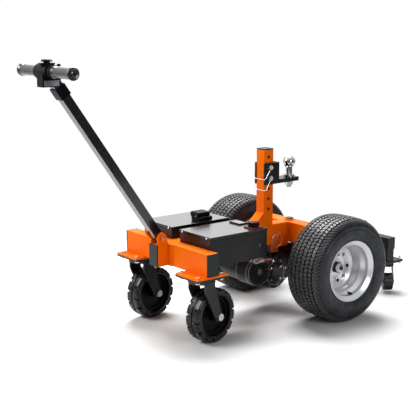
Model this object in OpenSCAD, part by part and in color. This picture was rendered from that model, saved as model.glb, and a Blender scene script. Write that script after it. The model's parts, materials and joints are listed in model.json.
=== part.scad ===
// Walk-behind electric trailer tug: steel frame on two driven wheels and
// two swivelling casters, with a hitch ball on a drilled post and a tiller.
// Origin: on the floor under the middle of the drive axle, below the ball.
// +X is the right-hand side, +Y points away from the tiller, +Z is up.

/* [Frame] */
// Axle line forward to the front face of the front beam
beam_reach = 615; // [605:5:635]
// Height of the underside of the main tubes above the axle
frame_rise = 58; // [56:1:60]
// Height of the main tubes
tube_height = 82; // [78:1:84]
// Width of the centre spine tube
spine_width = 50; // [48:1:52]
// Wall thickness of the main tubes
tube_wall = 4; // [3:0.5:5]
// Depth of the front beam, front to back
front_beam_depth = 50; // [44:1:50]
// Half length of the front beam tube, without its end cap
front_beam_half = 250; // [248:1:260]
// Length of the spine stub in front of the front beam
stub_length = 48; // [46:1:54]
// Distance from the axle line to the front face of the rear beam
rear_beam_front = 25; // [22:1:28]
// Depth of the rear beam, front to back
rear_beam_depth = 60; // [54:1:64]
// Gap between the caps of the rear beam and the tyres
tyre_gap = 20; // [16:1:24]
// Thickness of the plastic flange of each tube cap
cap_lip = 5; // [3:0.5:6]
// Depth of the plug of each tube cap
cap_plug = 14; // [10:1:20]
// Gap around the plug of each tube cap
plug_gap = 0.2; // [0.1:0.05:0.3]
// Radius of the pivot boss on the rear beam
boss_radius = 19; // [17:1:22]
// Height of the pivot boss on the rear beam
boss_height = 6; // [4:1:8]
// Height of the round cover on the pivot boss
cover_height = 4; // [3:0.5:6]
// Width of the flange strip beside the spine stub
cleat_width = 25; // [22:1:28]
// Thickness of the flange strip beside the spine stub
cleat_thick = 5; // [4:0.5:6]
// Distance of the round cover from the edge of its boss
cover_inset = 3; // [2:0.5:4]

/* [Post] */
// Axle line forward to the centre of the post
post_reach = 129; // [126:1:132]
// Outer width of the square post
post_width = 46; // [44:1:48]
// Wall thickness of the post
post_wall = 4; // [3:0.5:5]
// Length of the post tube
post_length = 300; // [296:1:316]
// Distance of the highest cross hole below the top of the post
hole_in = 28; // [26:1:30]
// Spacing of the cross holes
hole_pitch = 41.5; // [41:0.5:42]
// Radius of the hitch pins
pin_radius = 6.35; // [6:0.05:6.5]
// Radial clearance of pins, bolts and shafts that turn
run_gap = 0.05; // [0.03:0.01:0.08]
// Height of the sloped gusset up the post
gusset_height = 52; // [48:1:58]
// Length of the sloped gusset along the spine
gusset_length = 42; // [38:1:46]

/* [Ball mount] */
// Height of the ball centre above the platform
ball_rise = 59; // [56:1:62]
// Radius of the hitch ball
ball_radius = 25.4; // [25:0.1:25.8]
// Radius of the ball neck
neck_radius = 13; // [12:0.5:14]
// Radius of the ball base flange
ball_base_radius = 23; // [21:0.5:24]
// Thickness of the ball base flange
ball_base_height = 8; // [6:0.5:10]
// Radius of the ball shank
shank_radius = 9.5; // [9:0.5:10]
// Length of the shank below the platform
shank_drop = 27; // [26:1:30]
// Height of the top of the platform above the lower edge of the bracket
platform_rise = 16.5; // [16:0.5:18]
// Thickness of the platform
platform_thick = 16; // [14:1:17]
// Half width of the platform
platform_half = 31; // [30:1:34]
// Distance the platform reaches behind the ball centre
platform_tail = 25; // [24:1:28]
// Thickness of the bracket side plates
bracket_plate = 6; // [5:0.5:7]
// Gap between the bracket and the post
bracket_gap = 0.3; // [0.2:0.1:0.5]
// Distance from the post centre forward to the bracket front edge
bracket_front = 27; // [26:1:28]
// Distance from the post centre back to the bracket rear face
bracket_back = 50; // [48:1:54]
// Height of the bracket plates
bracket_height = 85; // [82:1:88]
// Distance of the lower pin above the lower edge of the bracket
pin_rise = 25.5; // [24.5:0.5:26.5]
// Width across the flats of the ball nut
ball_nut_flats = 30; // [28:1:32]
// Height of the ball nut
ball_nut_height = 18; // [16:1:19]

/* [Pins] */
// Radius of a hitch pin head
pin_head_radius = 9.5; // [9:0.5:10]
// Thickness of a hitch pin head
pin_head_height = 9; // [8:0.5:10]
// Length of a hitch pin past the plate on the far side
pin_tip = 15; // [14:1:18]
// Radius of the bail wire
wire_radius = 1.6; // [1.4:0.1:1.8]
// Distance of the bail wire crossing from the pin axis
bail_reach = 54; // [53:1:56]
// Bend radius of the bail wire
bail_bend = 10; // [8:1:12]
// Axle line forward to the frame pin
frame_pin_reach = 89; // [86:1:92]
// Radius of the ring on the frame pin
ring_radius = 26; // [24:1:27]

/* [Front beam pads] */
// Thickness of the welded pad above each front caster
pad_thick = 6; // [5:0.5:7]
// Width of each welded pad
pad_width = 130; // [126:1:132]
// Length of each welded pad, front to back
pad_length = 137; // [134:1:142]
// Distance the pad reaches in front of the beam
pad_front = 45; // [43:1:47]
// Spacing of the caster plate bolts across the machine
plate_bolt_across = 92; // [90:1:96]
// Spacing of the caster plate bolts along the machine
plate_bolt_along = 102; // [100:1:106]
// Radius of the caster plate bolts
plate_bolt_radius = 5; // [4.5:0.5:5.5]
// Width across the flats of the plate bolt heads
bolt_flats = 16; // [15:0.5:17]
// Height of the plate bolt heads
bolt_head = 7; // [6:0.5:8]
// Height of the plate bolt nuts
plate_nut = 8; // [7:0.5:9]

/* [Battery boxes] */
// Length of each battery box along the machine
box_length = 267; // [262:1:270]
// Width of each battery box
box_width = 180; // [176:1:184]
// Height of the underside of the boxes above that of the main tubes
box_rise = 16; // [15:1:18]
// Height of the box body
box_height = 109; // [106:1:112]
// Sheet thickness of the boxes and lids
sheet = 2; // [1.5:0.25:2.5]
// Gap between the front beam and the boxes
box_gap = 1; // [0.5:0.5:2]
// Depth of the lid rim
lid_rim = 11; // [9:1:13]
// Gap between the lid rim and the box
lid_gap = 0.4; // [0.3:0.1:0.6]
// Radius of the cable hole in the box side
cable_hole_radius = 9; // [8:0.5:10]
// Height of the battery block
cell_height = 84; // [80:1:86]
// Space left around the battery block
cell_gap = 6; // [5:1:8]
// Radius of the lid screws
lid_screw_radius = 3.5; // [3:0.5:4]
// Distance of the cable hole from the back of the box
hole_back = 30; // [28:1:34]
// Radius of the battery terminals
terminal_radius = 6; // [5:0.5:7]
// Height of the battery terminals
terminal_height = 8; // [6:1:9]
// Distance of the battery terminals from the front of the box
terminal_in = 66; // [60:1:72]
// Distance of the battery terminals from the box sides
terminal_side = 36; // [30:1:40]
// Height of the lid screw heads
screw_height = 2; // [1.5:0.25:2.5]
// Distance of the lid screws from the box corners
screw_in = 18; // [16:1:20]

/* [Lid fittings] */
// Width of the charging block
charge_width = 58; // [54:1:60]
// Depth of the charging block
charge_depth = 45; // [42:1:48]
// Height of the charging block
charge_height = 35; // [32:1:38]
// Radius of the charging plug
plug_radius = 9; // [8:0.5:10]
// Length of the charging plug
plug_length = 22; // [20:1:26]
// Width of the charge gauge
gauge_width = 62; // [58:1:66]
// Depth of the charge gauge
gauge_depth = 42; // [38:1:44]
// Height of the charge gauge
gauge_height = 5; // [4:0.5:6]
// Side of the isolator base plate
isolator_side = 52; // [50:1:54]
// Thickness of the isolator base plate
isolator_base_height = 5; // [4:0.5:6]
// Radius of the isolator knob
knob_radius = 21; // [20:0.5:22]
// Height of the isolator knob
knob_height = 17; // [15:1:19]
// Distance of the charging block from the spine side
charge_in = 2; // [1:0.5:3]
// Back of the box forward to the front of the charging block
charge_reach = 139; // [135:1:141]
// Size of the step along the outer edge of the charging block
charge_step = 9; // [8:1:10]
// Distance of the charging plug from the outer side of its block
plug_in = 20; // [19:1:22]
// Distance of the gauge middle from the spine
gauge_in = 55; // [53:1:59]
// Back of the box forward to the gauge middle
gauge_reach = 33; // [31:1:37]
// Width of the gauge frame
gauge_edge = 5; // [4:0.5:6]
// Distance of the isolator from the outer side of the box
isolator_in = 30; // [29:1:33]
// Back of the box forward to the isolator
isolator_reach = 40; // [38:1:42]
// Radius of the isolator spindle
spindle_radius = 4; // [3.5:0.25:4.5]
// Depth of the isolator spindle in its base
spindle_depth = 4; // [3:0.5:4]
// Radius of the flutes around the isolator knob
flute_radius = 5; // [4.5:0.25:5.5]
// Height of the plain foot of the isolator knob
flute_base = 6; // [5:0.5:7]
// Number of flutes around the isolator knob
flute_count = 8; // [6:1:10]

/* [Drive wheels] */
// Outer radius of the drive tyres
tyre_radius = 204; // [203:0.5:205]
// Machine middle to the middle of each tyre
wheel_offset = 280; // [279:1:283]
// Width of the drive tyres
tyre_width = 170; // [168:1:172]
// Radius of the rim bead seat
bead_radius = 101.6; // [101:0.2:102]
// Radius of the rim flange
flange_radius = 118.6; // [117:0.2:120]
// Half width of the rim over its flanges
rim_half = 79; // [78:0.5:80]
// Sheet thickness of the rim
rim_sheet = 3; // [2.5:0.25:3.5]
// Number of tread blocks around the tyre
tread_count = 32; // [24:1:36]
// Depth of the tread grooves
tread_depth = 7; // [6:0.5:8]
// Thickness of the tyre under the tread grooves
carcass = 3.25; // [3:0.25:4]
// Width of the grooves along the tread
rib_groove = 5; // [4:0.5:6]
// Width of the grooves across the tread
cross_groove = 6; // [5:0.5:7]
// Slope of the grooves across the tread
groove_slope = 24; // [20:1:28]
// Distance of the rim disc from the rim middle
disc_offset = 10; // [8:1:12]
// Radius of the circle of lug nuts
lug_circle = 50.8; // [50:0.4:52]
// Number of lug nuts
lug_count = 4; // [4:1:5]
// Radius of the wheel studs
stud_radius = 6; // [5.5:0.25:6.5]
// Radius of the drive shafts
shaft_radius = 12.5; // [12:0.5:13]
// Radius of the hub cover
hub_cover_radius = 21; // [20:0.5:23]
// Width of the tyre bead
bead_width = 16; // [14:1:18]
// Distance the rim disc rises outwards to the rim well
disc_dish = 10; // [8:1:12]
// Thickness of the rim disc
disc_thick = 4; // [3.5:0.25:5]
// Depth of the well in the middle of the rim
well_depth = 14; // [12:1:16]
// Number of vent holes in the rim disc
vent_count = 4; // [4:1:6]
// Radius of the vent holes in the rim disc
vent_radius = 9; // [7:0.5:10]
// Thickness of the hub flange
hub_flange_thick = 9; // [8:0.5:10]
// Radius of the hub flange
hub_flange_radius = 62; // [60:1:64]
// Radius of the hub body
hub_neck_radius = 30; // [28:1:32]
// Gap between the hub body and the axle tube end
hub_gap = 2; // [1.5:0.25:2.5]
// Length of the hub cover
cover_length = 18; // [16:1:20]
// Machine middle to the inner end of a drive shaft
shaft_inner = 34; // [32:1:36]
// Length of the wheel studs
stud_length = 18; // [17:0.5:20]
// Radius of the axle end
axle_nut_radius = 9; // [8:0.5:10]
// Length of the axle end past the rim disc
axle_nut_length = 34; // [32:1:36]
// Width across the flats of the lug nuts
lug_flats = 19; // [18:0.5:20]
// Height of the lug nuts
lug_height = 11; // [10:0.5:12]

/* [Drive unit] */
// Radius of the axle tubes
axle_tube_radius = 24; // [23:0.5:25]
// Middle of each tyre in to the end of its axle tube
axle_in = 75; // [72:1:77]
// Half width of the gear case
case_half = 46; // [44:1:48]
// Radius of the gear case around the axle
case_axle_radius = 46; // [44:1:48]
// Radius of the gear case in its middle
case_mid_radius = 62; // [60:1:64]
// Distance from the axle forward to the middle of the gear case
case_mid_reach = 112; // [110:1:114]
// Distance of the middle of the gear case below the axle
case_mid_drop = 54; // [52:1:55]
// Distance from the axle forward to the motor
motor_reach = 261; // [260:1:264]
// Distance of the motor axis below the axle
motor_drop = 9; // [7:1:11]
// Radius of the motor
motor_radius = 55; // [53:1:57]
// Machine middle to the motor end shield
motor_right = 120; // [117:1:123]
// Thickness of the motor end shield
shield_thick = 12; // [10:1:14]
// Wall thickness of the gear case
case_wall = 6; // [5:0.5:7]
// Radius of the gear case around the motor
case_motor_radius = 49.5; // [48:0.5:51]
// Half width of the mounting lug of the gear case
lug_half = 18; // [17:0.5:19]
// Distance the mounting lug reaches in front of and behind the cross bolt
lug_reach = 12; // [11:0.5:13]
// Height of the mounting lug above the cross bolt
lug_rise = 11; // [10:0.5:12]
// Axle line forward to the cross bolt
cross_bolt_reach = 92; // [91.5:0.5:92.5]
// Distance of the cross bolt below the main tubes
cross_bolt_drop = 23; // [22.5:0.5:23.5]
// Radius of the cross bolt and the strap bolts
cross_bolt_radius = 5; // [4.5:0.25:5]
// Number of bolts around the end shield
shield_bolts = 4; // [4:1:6]
// Radius of the bolt heads on the end shield
shield_bolt_radius = 4; // [3.5:0.25:4.5]
// Height of the bolt heads on the end shield
shield_bolt_height = 4; // [3:0.5:5]
// Radius of the bearing boss on the end shield
shield_boss_radius = 18; // [16:1:20]
// Length of the parking brake on the left of the gear case
brake_length = 30; // [26:1:34]
// Radius of the parking brake
brake_radius = 38; // [36:1:40]
// Radius of the motor terminals
motor_post_radius = 4; // [3.5:0.25:4.5]
// Distance of the motor terminals from the edge of the end shield
terminal_inset = 12; // [10:1:14]
// Turn of each motor terminal from the horizontal or the vertical
terminal_turn = 5; // [3:1:8]
// Length of the motor terminals
motor_post_length = 16; // [14:1:18]
// Distance the saddle reaches in front of the cross bolt
saddle_ahead = 23; // [21:1:25]
// Distance from the cross bolt back to the step of the saddle
saddle_behind = 17; // [15:1:18]
// Depth of the front part of the saddle
saddle_drop = 33; // [32:1:34]
// Depth of the rear part of the saddle
saddle_rear_drop = 14; // [12:1:15]
// Machine middle to each axle seat
seat_middle = 112; // [110:1:114]
// Half width of each axle seat
seat_half = 24; // [22:1:26]
// Distance each axle seat reaches in front of and behind the axle
seat_depth = 44; // [42:1:46]
// Distance of the strap bolts from the axle
strap_bolt_reach = 34; // [33.5:0.5:34.5]
// Height of the straps below the axle
strap_height = 34; // [32:1:36]

/* [Front casters] */
// Gap between the fork crown and the top of the front caster wheels
caster_headroom = 30.7; // [29.7:0.5:31.7]
// Width of the front caster wheels
caster_width = 62; // [60:1:64]
// Trail of the front casters
caster_trail = 45; // [43:1:47]
// Swivel angle of the front casters
caster_yaw = 9; // [5:1:13]
// Thickness of the front caster top plate
plate_thick = 7; // [6:0.5:8]
// Radius of the swivel race
race_radius = 40; // [38:1:42]
// Thickness of the fork plates
fork_plate = 6; // [5:0.5:7]
// Gap between the fork and the wheel
fork_gap = 5; // [4:0.5:6]
// Radius of the fork crown
crown_radius = 50; // [48:1:52]
// Radius of the caster axle
caster_axle_radius = 8; // [7.5:0.25:8.5]
// Radial depth of the solid caster tread
caster_tread = 26; // [24:1:28]
// Number of edge notches around the caster tread
notch_count = 14; // [12:1:16]
// Height of the swivel race
race_height = 8; // [7:0.5:9]
// Radius of the king pin
kingpin_radius = 9; // [8:0.5:10]
// Width across the flats of the king pin nut
kingpin_flats = 23; // [22:0.5:25]
// Height of the king pin nut
kingpin_nut = 8; // [7:0.5:9]
// Thickness of the fork crown
crown_thick = 10; // [9:0.5:11]
// Radius of the fork legs at the crown
leg_top_radius = 26; // [24:1:28]
// Radius of the fork legs at the axle
leg_foot_radius = 18; // [16:1:20]
// Height of the straight top of the fork legs
leg_shoulder = 22; // [20:1:24]
// Height of the caster axle heads
axle_head = 12; // [10:1:13]
// Width across the flats of the caster axle heads
axle_flats = 25; // [24:0.5:26]
// Radius of the boss of the caster hub
caster_boss_radius = 20; // [18:1:22]
// Half width of the body of the caster hub
caster_web = 18; // [16:1:20]
// Half width of the dished part of the caster hub
caster_dish = 9; // [8:1:10]
// Width of the outer ring of the caster hub
caster_ring = 13; // [11:1:15]
// Gap between the caster boss and the fork
boss_slack = 0.5; // [0.4:0.1:0.8]
// Size of the slanted edge of the solid tread
tread_edge = 8; // [7:0.5:9]
// Width of the edge notches
notch_width = 9; // [8:0.5:10]
// Depth of the edge notches
notch_depth = 9; // [8:0.5:10]

/* [Rear outrigger] */
// Axle line back to the outrigger tube
outrigger_back = 402; // [400:1:406]
// Depth of the outrigger tube, front to back
outrigger_depth = 40; // [38:1:42]
// Height of the top of the tail tube above the underside of the main tubes
tail_rise = 22; // [20:1:24]
// Height of the outrigger tube
outrigger_height = 50; // [48:1:52]
// Half length of the outrigger tube
outrigger_half = 180; // [178:1:182]
// Width of the tail tube
tail_width = 44; // [40:1:46]
// Height of the tail tube
tail_height = 44; // [42:1:48]
// Wall thickness of the black tubes
outrigger_wall = 3; // [2.5:0.5:3.5]
// Height of the top of the foot plates above the floor
foot_top = 137; // [136:1:138]
// Thickness of the foot plates
foot_thick = 6; // [5:0.5:6]
// Length of the foot plates, front to back
foot_length = 114; // [112:1:116]
// Width of the foot plates
foot_width = 80; // [78:1:82]
// End of the outrigger tube in to each stabiliser
stabiliser_in = 35; // [34:1:36]
// Front of the outrigger tube back to each stabiliser
stabiliser_setback = 37; // [36:1:39]
// Radius of the stabiliser wheels
stabiliser_radius = 37; // [36:0.5:38]
// Width of the stabiliser wheels
stabiliser_width = 42; // [40:1:44]
// Height of the stabiliser wheel centre above the floor
stabiliser_height = 47; // [46:0.5:48]
// Trail of the stabilisers
stabiliser_trail = 25; // [24:1:27]
// Swivel angle of the stabilisers
stabiliser_yaw = 52; // [48:1:56]
// Width of the lower end of the outrigger legs
leg_foot_width = 14; // [12:1:16]
// Spacing of the foot plate bolts across the machine
foot_bolt_across = 60; // [58:1:61]
// Spacing of the foot plate bolts along the machine
foot_bolt_along = 96; // [94:1:98]
// Radius of the foot plate bolts
foot_bolt_radius = 4; // [3.5:0.25:4.5]
// Height of the foot plate bolts above the plate
foot_bolt_above = 14; // [12:1:16]
// Length of the foot plate bolts below the caster plate
foot_bolt_below = 9; // [8:0.5:9]
// Height of the foot plate nuts
foot_bolt_head = 6; // [5:0.5:7]
// Width across the flats of the foot plate nuts
foot_bolt_flats = 12; // [11:0.5:13]
// Thickness of the stabiliser top plate
stabiliser_plate = 4; // [3.5:0.25:4.5]
// Radius of the stabiliser swivel race
stabiliser_race_radius = 27; // [26:0.5:28]
// Height of the stabiliser swivel race
stabiliser_race_height = 9; // [8:0.5:10]
// Radius of the stabiliser fork crown
stabiliser_crown_radius = 31; // [30:0.5:32]
// Thickness of the stabiliser fork crown
stabiliser_crown_thick = 7; // [6:0.5:8]
// Radius of the stabiliser king pin
stabiliser_pin_radius = 6; // [5.5:0.25:6.5]
// Radius of the stabiliser axle
stabiliser_axle_radius = 5; // [4.5:0.25:5.5]
// Thickness of the stabiliser fork legs
stabiliser_leg = 3; // [2.5:0.25:3.5]
// Radius of the stabiliser fork legs at the crown
stabiliser_leg_top = 16; // [15:0.5:17]
// Radius of the stabiliser fork legs at the axle
stabiliser_leg_foot = 13; // [12:0.5:14]
// Size of the slanted edge of the stabiliser wheels
stabiliser_edge = 4; // [3:0.5:5]

/* [Tiller] */
// Front of the spine stub back to the tiller pivot
pivot_in = 18.5; // [18:0.5:20]
// Height of the tiller pivot above the main tubes
pivot_rise = 23.5; // [22.5:0.5:26]
// Slope of the tiller above the horizontal
tiller_slope = 55; // [53:1:57]
// Outer width of the square tiller tube
tiller_width = 33; // [32:0.5:34]
// Wall thickness of the tiller tube
tiller_wall = 2.5; // [2:0.25:3]
// Distance from the pivot to the handlebar, along the tiller
tiller_length = 748; // [740:1:760]
// Length of the sleeve below the tiller head
sleeve_length = 42; // [38:1:46]
// Radius of the tiller pivot bolt
pivot_radius = 6; // [5.5:0.5:6.5]
// Thickness of the pivot ears
ear_thick = 6; // [5:0.5:6.5]
// Gap between the ears and the tiller
ear_gap = 2; // [1.5:0.25:2.25]
// Radius of the rounded ear around the pivot
ear_radius = 20; // [19:0.5:22]
// Half length of the ears along the spine
ear_foot = 28; // [26:1:29]
// Distance the stop finger of the left ear reaches in front of the pivot
stop_reach = 38; // [36:1:40]
// Height of the tip of the stop finger above the pivot
stop_height = 31; // [29:1:33]
// Angle at which the ear sides meet their round top
ear_side_slope = 35; // [30:1:40]
// Length of the ears in front of the pivot
ear_front = 18; // [17:0.5:18]
// Height of the pivot bolt heads
pivot_head = 8; // [7:0.5:9]
// Width across the flats of the pivot bolt heads
pivot_flats = 18; // [17:0.5:19]
// Length of the solid foot of the tiller tube
foot_solid = 34; // [30:1:38]

/* [Handlebar] */
// Half length of the handlebar
bar_half = 166; // [164:1:172]
// Radius of the handlebar tube
bar_radius = 11; // [10.5:0.25:11.5]
// Radius of the handgrips
grip_radius = 20; // [19:0.5:21]
// Gap between the barrel and each handgrip
grip_gap = 4; // [3:0.5:5]
// Radius of the discs of the handgrips
grip_disc_radius = 24.5; // [24:0.5:26]
// Thickness of the discs of the handgrips
grip_disc = 6; // [5:0.5:7]
// Number of ribs around each handgrip
grip_ribs = 16; // [12:1:18]
// Radius of the barrel of the tiller head
barrel_radius = 26; // [25:0.5:27]
// Half length of the barrel of the tiller head
barrel_half = 31; // [30:0.5:32]
// Half width of the head box
head_half = 20; // [19:0.5:21]
// Depth of the head box
head_depth = 66; // [64:1:68]
// Height of the head box below the handlebar
head_drop = 49; // [47:1:50]
// Width of the throttle ring
throttle_width = 17; // [16:0.5:18]
// Length of the throttle lever tab
throttle_tab = 24; // [22:1:26]
// Thickness of the throttle lever tab
throttle_thick = 4; // [3.5:0.5:5]
// Radius of the stop button
button_radius = 19; // [18:0.5:20]
// Height of the stop button cap
button_cap = 7; // [6:0.5:8]
// Travel of the stop button
button_travel = 4; // [3:0.5:4.5]
// Radius of the stop button collar
collar_radius = 27; // [26:0.5:28]
// Distance of the head box front from the handlebar
head_front = 27; // [26:0.5:28]
// Thickness of the stop button collar
collar_thick = 5; // [4:0.5:6]
// Radius of the stop button stem
button_stem = 11; // [10:0.5:12]
// Size of the slanted edge of the stop button
button_edge = 4; // [3:0.5:5]
// Wall thickness of the sleeve on the tiller tube
sleeve_wall = 4; // [3:0.5:5]
// Wall thickness of the handlebar
bar_wall = 2; // [1.5:0.25:2.5]
// Height of the handgrip ribs
rib_height = 1.2; // [1:0.1:1.5]
// Width of the handgrip ribs
rib_width = 3; // [2.5:0.25:3.5]
// Radius of the hole in the handgrip ends
grip_hole = 3; // [2.5:0.25:3.5]
// Difference between the barrel and throttle ring radii
ring_drop = 4.5; // [4:0.25:5]

/* [Hidden] */
$fn = 64;
// Quarter and half turns
quarter_turn = 90;
half_turn = 180;
full_turn = 360;
// Extra length that makes each cut pass its faces
over = 1;
frame_under = tyre_radius + frame_rise;
frame_top = frame_under + tube_height;
tube_middle = frame_under + tube_height / 2;
beam_front = -beam_reach;
beam_back = beam_front + front_beam_depth;
stub_front = beam_front - stub_length;
spine_back = -rear_beam_front;
rear_beam_back = rear_beam_depth - rear_beam_front;
rear_beam_half = wheel_offset - tyre_width / 2 - tyre_gap - cap_lip;
pivot_reach = -stub_front - pivot_in;
pivot_height = frame_top + pivot_rise;
spine_half = spine_width / 2;
post_half = post_width / 2;
pin_bore = pin_radius + run_gap;
hole_count = 6;
post_top = frame_top + post_length;
hole_top = post_top - hole_in;
upper_hole = hole_top - hole_pitch;
lower_hole = upper_hole - hole_pitch;
bracket_under = lower_hole - pin_rise;
platform_top = bracket_under + platform_rise;
ball_height = platform_top + ball_rise;
bracket_inner = post_half + bracket_gap;
bracket_outer = bracket_inner + bracket_plate;

orange = [0.93, 0.33, 0.05];
black = [0.07, 0.07, 0.08];
grey = [0.35, 0.36, 0.38];
steel = [0.75, 0.76, 0.78];
red = [0.7, 0.08, 0.06];
rubber = [0.1, 0.1, 0.11];
silver = [0.85, 0.86, 0.88];

// A block between two opposite corners
module slab(low, high) {
  translate(low) cube(high - low);
}

// Round rods along each axis, each between two positions
module rod_x(from, to, y, z, r) {
  translate([from, y, z]) rotate([0, quarter_turn, 0]) cylinder(h = to - from, r = r);
}
module mid_rod(half, y, z, r) {
  rod_x(-half, half, y, z, r);
}
module bore_x(half, y, z, r) {
  mid_rod(half + over, y, z, r);
}
module rod_y(from, to, x, z, r) {
  translate([x, from, z]) rotate([-quarter_turn, 0, 0]) cylinder(h = to - from, r = r);
}
module rod_z(from, to, x, y, r) {
  translate([x, y, from]) cylinder(h = to - from, r = r);
}

// A hexagon bar along +Z, measured across its flats
module hex_bar(height, flats) {
  cylinder(h = height, r = flats / sqrt(3), $fn = 6);
}

// A closed tube of rectangular section along X, open at both ends
module tube_x(from, to, y0, y1, z0, z1, wall) {
  difference() {
    slab([from, y0, z0], [to, y1, z1]);
    slab([from - over, y0 + wall, z0 + wall], [to + over, y1 - wall, z1 - wall]);
  }
}
module tube_y(from, to, x0, x1, z0, z1, wall) {
  difference() {
    slab([x0, from, z0], [x1, to, z1]);
    slab([x0 + wall, from - over, z0 + wall], [x1 - wall, to + over, z1 - wall]);
  }
}

// Both hands of one part
module both_sides() {
  children();
  mirror([1, 0, 0]) children();
}

// Frame
module spine_tube() {
  color(orange) difference() {
    tube_y(stub_front, spine_back, -spine_half, spine_half, frame_under, frame_top, tube_wall);
    bore_x(spine_half, -frame_pin_reach, tube_middle, pin_bore);
  }
}

module front_beam() {
  color(orange) both_sides() {
    tube_x(spine_half, front_beam_half, beam_front, beam_back, frame_under, frame_top, tube_wall);
    slab([spine_half, beam_front - cleat_thick, frame_under],
      [spine_half + cleat_width, beam_front, frame_top]);
  }
}

module rear_beam() {
  color(orange) {
    tube_x(-rear_beam_half, rear_beam_half, spine_back, rear_beam_back, frame_under, frame_top, tube_wall);
    rod_z(frame_top, frame_top + boss_height, 0, spine_back + rear_beam_depth / 2, boss_radius);
  }
}

// Sloped box section in front of the post foot
gusset_nose_share = 0.25;
module gusset_side(height, length) {
  polygon([[0, 0], [-length, 0], [-length, height * gusset_nose_share], [0, height]]);
}
module post() {
  foot = -post_reach - post_half;
  color(orange) {
    difference() {
      slab([-post_half, foot, frame_top], [post_half, post_half - post_reach, post_top]);
      slab([post_wall - post_half, foot + post_wall, frame_top - over],
        [post_half - post_wall, post_half - post_wall - post_reach, post_top + over]);
      for (i = [0 : hole_count - 1])
        bore_x(post_half, -post_reach, hole_top - i * hole_pitch, pin_bore);
    }
    translate([0, foot, frame_top]) difference() {
      translate([-post_half, 0, 0]) rotate([quarter_turn, 0, quarter_turn])
        linear_extrude(post_width) gusset_side(gusset_height, gusset_length);
      translate([post_wall - post_half, over, -over]) rotate([quarter_turn, 0, quarter_turn])
        linear_extrude(post_width - 2 * post_wall)
          gusset_side(gusset_height - post_wall, gusset_length - post_wall);
    }
  }
}

pad_left = front_beam_half + cap_lip - pad_width;
caster_offset = pad_left + pad_width / 2;
module at_plate_bolts() {
  for (sx = [-1, 1], sy = [-1, 1])
    translate([caster_offset + sx * plate_bolt_across / 2, pad_middle_y + sy * plate_bolt_along / 2, 0])
      children();
}
module plate_holes(r, from, to) {
  at_plate_bolts() rod_z(from, to, 0, 0, r);
}
pad_middle_y = beam_front - pad_front + pad_length / 2;
module pad_plate(from, to) {
  translate([pad_left, beam_front - pad_front, from]) cube([pad_width, pad_length, to - from]);
}
module caster_pads() {
  color(orange) both_sides() difference() {
    pad_plate(frame_under - pad_thick, frame_under);
    plate_holes(plate_bolt_radius + plug_gap, frame_under - pad_thick - over, frame_under + over);
  }
}

// Flange and hollow plug of a tube cap, pointing out along +Z
module tube_cap(width, depth, wall) {
  inner = [width - 2 * (wall + plug_gap), depth - 2 * (wall + plug_gap)];
  rim = [inner.x - 2 * wall, inner.y - 2 * wall];
  translate([-width / 2, -depth / 2, 0]) cube([width, depth, cap_lip]);
  difference() {
    translate([-inner.x / 2, -inner.y / 2, -cap_plug]) cube([inner.x, inner.y, cap_plug]);
    translate([-rim.x / 2, -rim.y / 2, -cap_plug - over]) cube([rim.x, rim.y, cap_plug]);
  }
}
module end_caps() {
  color(black) {
    both_sides() {
      translate([front_beam_half, beam_front + front_beam_depth / 2, tube_middle])
        rotate([0, quarter_turn, 0]) tube_cap(tube_height, front_beam_depth, tube_wall);
      translate([rear_beam_half, spine_back + rear_beam_depth / 2, tube_middle])
        rotate([0, quarter_turn, 0]) tube_cap(tube_height, rear_beam_depth, tube_wall);
      translate([outrigger_half, outrigger_back + outrigger_depth / 2, outrigger_under + outrigger_height / 2])
        rotate([0, quarter_turn, 0]) tube_cap(outrigger_height, outrigger_depth, outrigger_wall);
    }
    translate([0, stub_front, tube_middle]) rotate([quarter_turn, 0, 0])
      tube_cap(spine_width, tube_height, tube_wall);
    translate([0, -post_reach, post_top]) tube_cap(post_width, post_width, post_wall);
    translate([0, spine_back + rear_beam_depth / 2, frame_top + boss_height])
      cylinder(h = cover_height, r = boss_radius - cover_inset);
  }
}

// Tiller ears on the spine stub, the left one with a stop finger
tiller_half = tiller_width / 2;
ear_inner = tiller_half + ear_gap;
ear_outer = ear_inner + ear_thick;
stop_root_share = 0.3;
module ear_plate() {
  side = [ear_radius * cos(ear_side_slope), ear_radius * sin(ear_side_slope)];
  rotate([quarter_turn, 0, quarter_turn]) linear_extrude(ear_thick) difference() {
    union() {
      circle(r = ear_radius);
      polygon([[-ear_front, -pivot_rise], [ear_foot, -pivot_rise], side, [-side.x, side.y]]);
    }
    circle(r = pivot_radius + run_gap);
    translate([-2 * ear_radius, -pivot_rise - 2 * ear_radius]) square([4 * ear_radius, 2 * ear_radius]);
  }
}
module handle_ears() {
  root = ear_radius * stop_root_share;
  color(orange) translate([0, -pivot_reach, pivot_height]) {
    translate([ear_inner, 0, 0]) ear_plate();
    translate([-ear_outer, 0, 0]) {
      ear_plate();
      rotate([quarter_turn, 0, quarter_turn]) linear_extrude(ear_thick)
        polygon([[-ear_radius, -root], [-root, root], [-stop_reach, stop_height],
          [-stop_reach, stop_height - ear_radius]]);
    }
  }
}

module handle_pivot() {
  color(steel) translate([0, -pivot_reach, pivot_height]) {
    mid_rod(ear_outer + pivot_head, 0, 0, pivot_radius);
    both_sides() translate([ear_outer, 0, 0]) rotate([0, quarter_turn, 0]) hex_bar(pivot_head, pivot_flats);
  }
}

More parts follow.
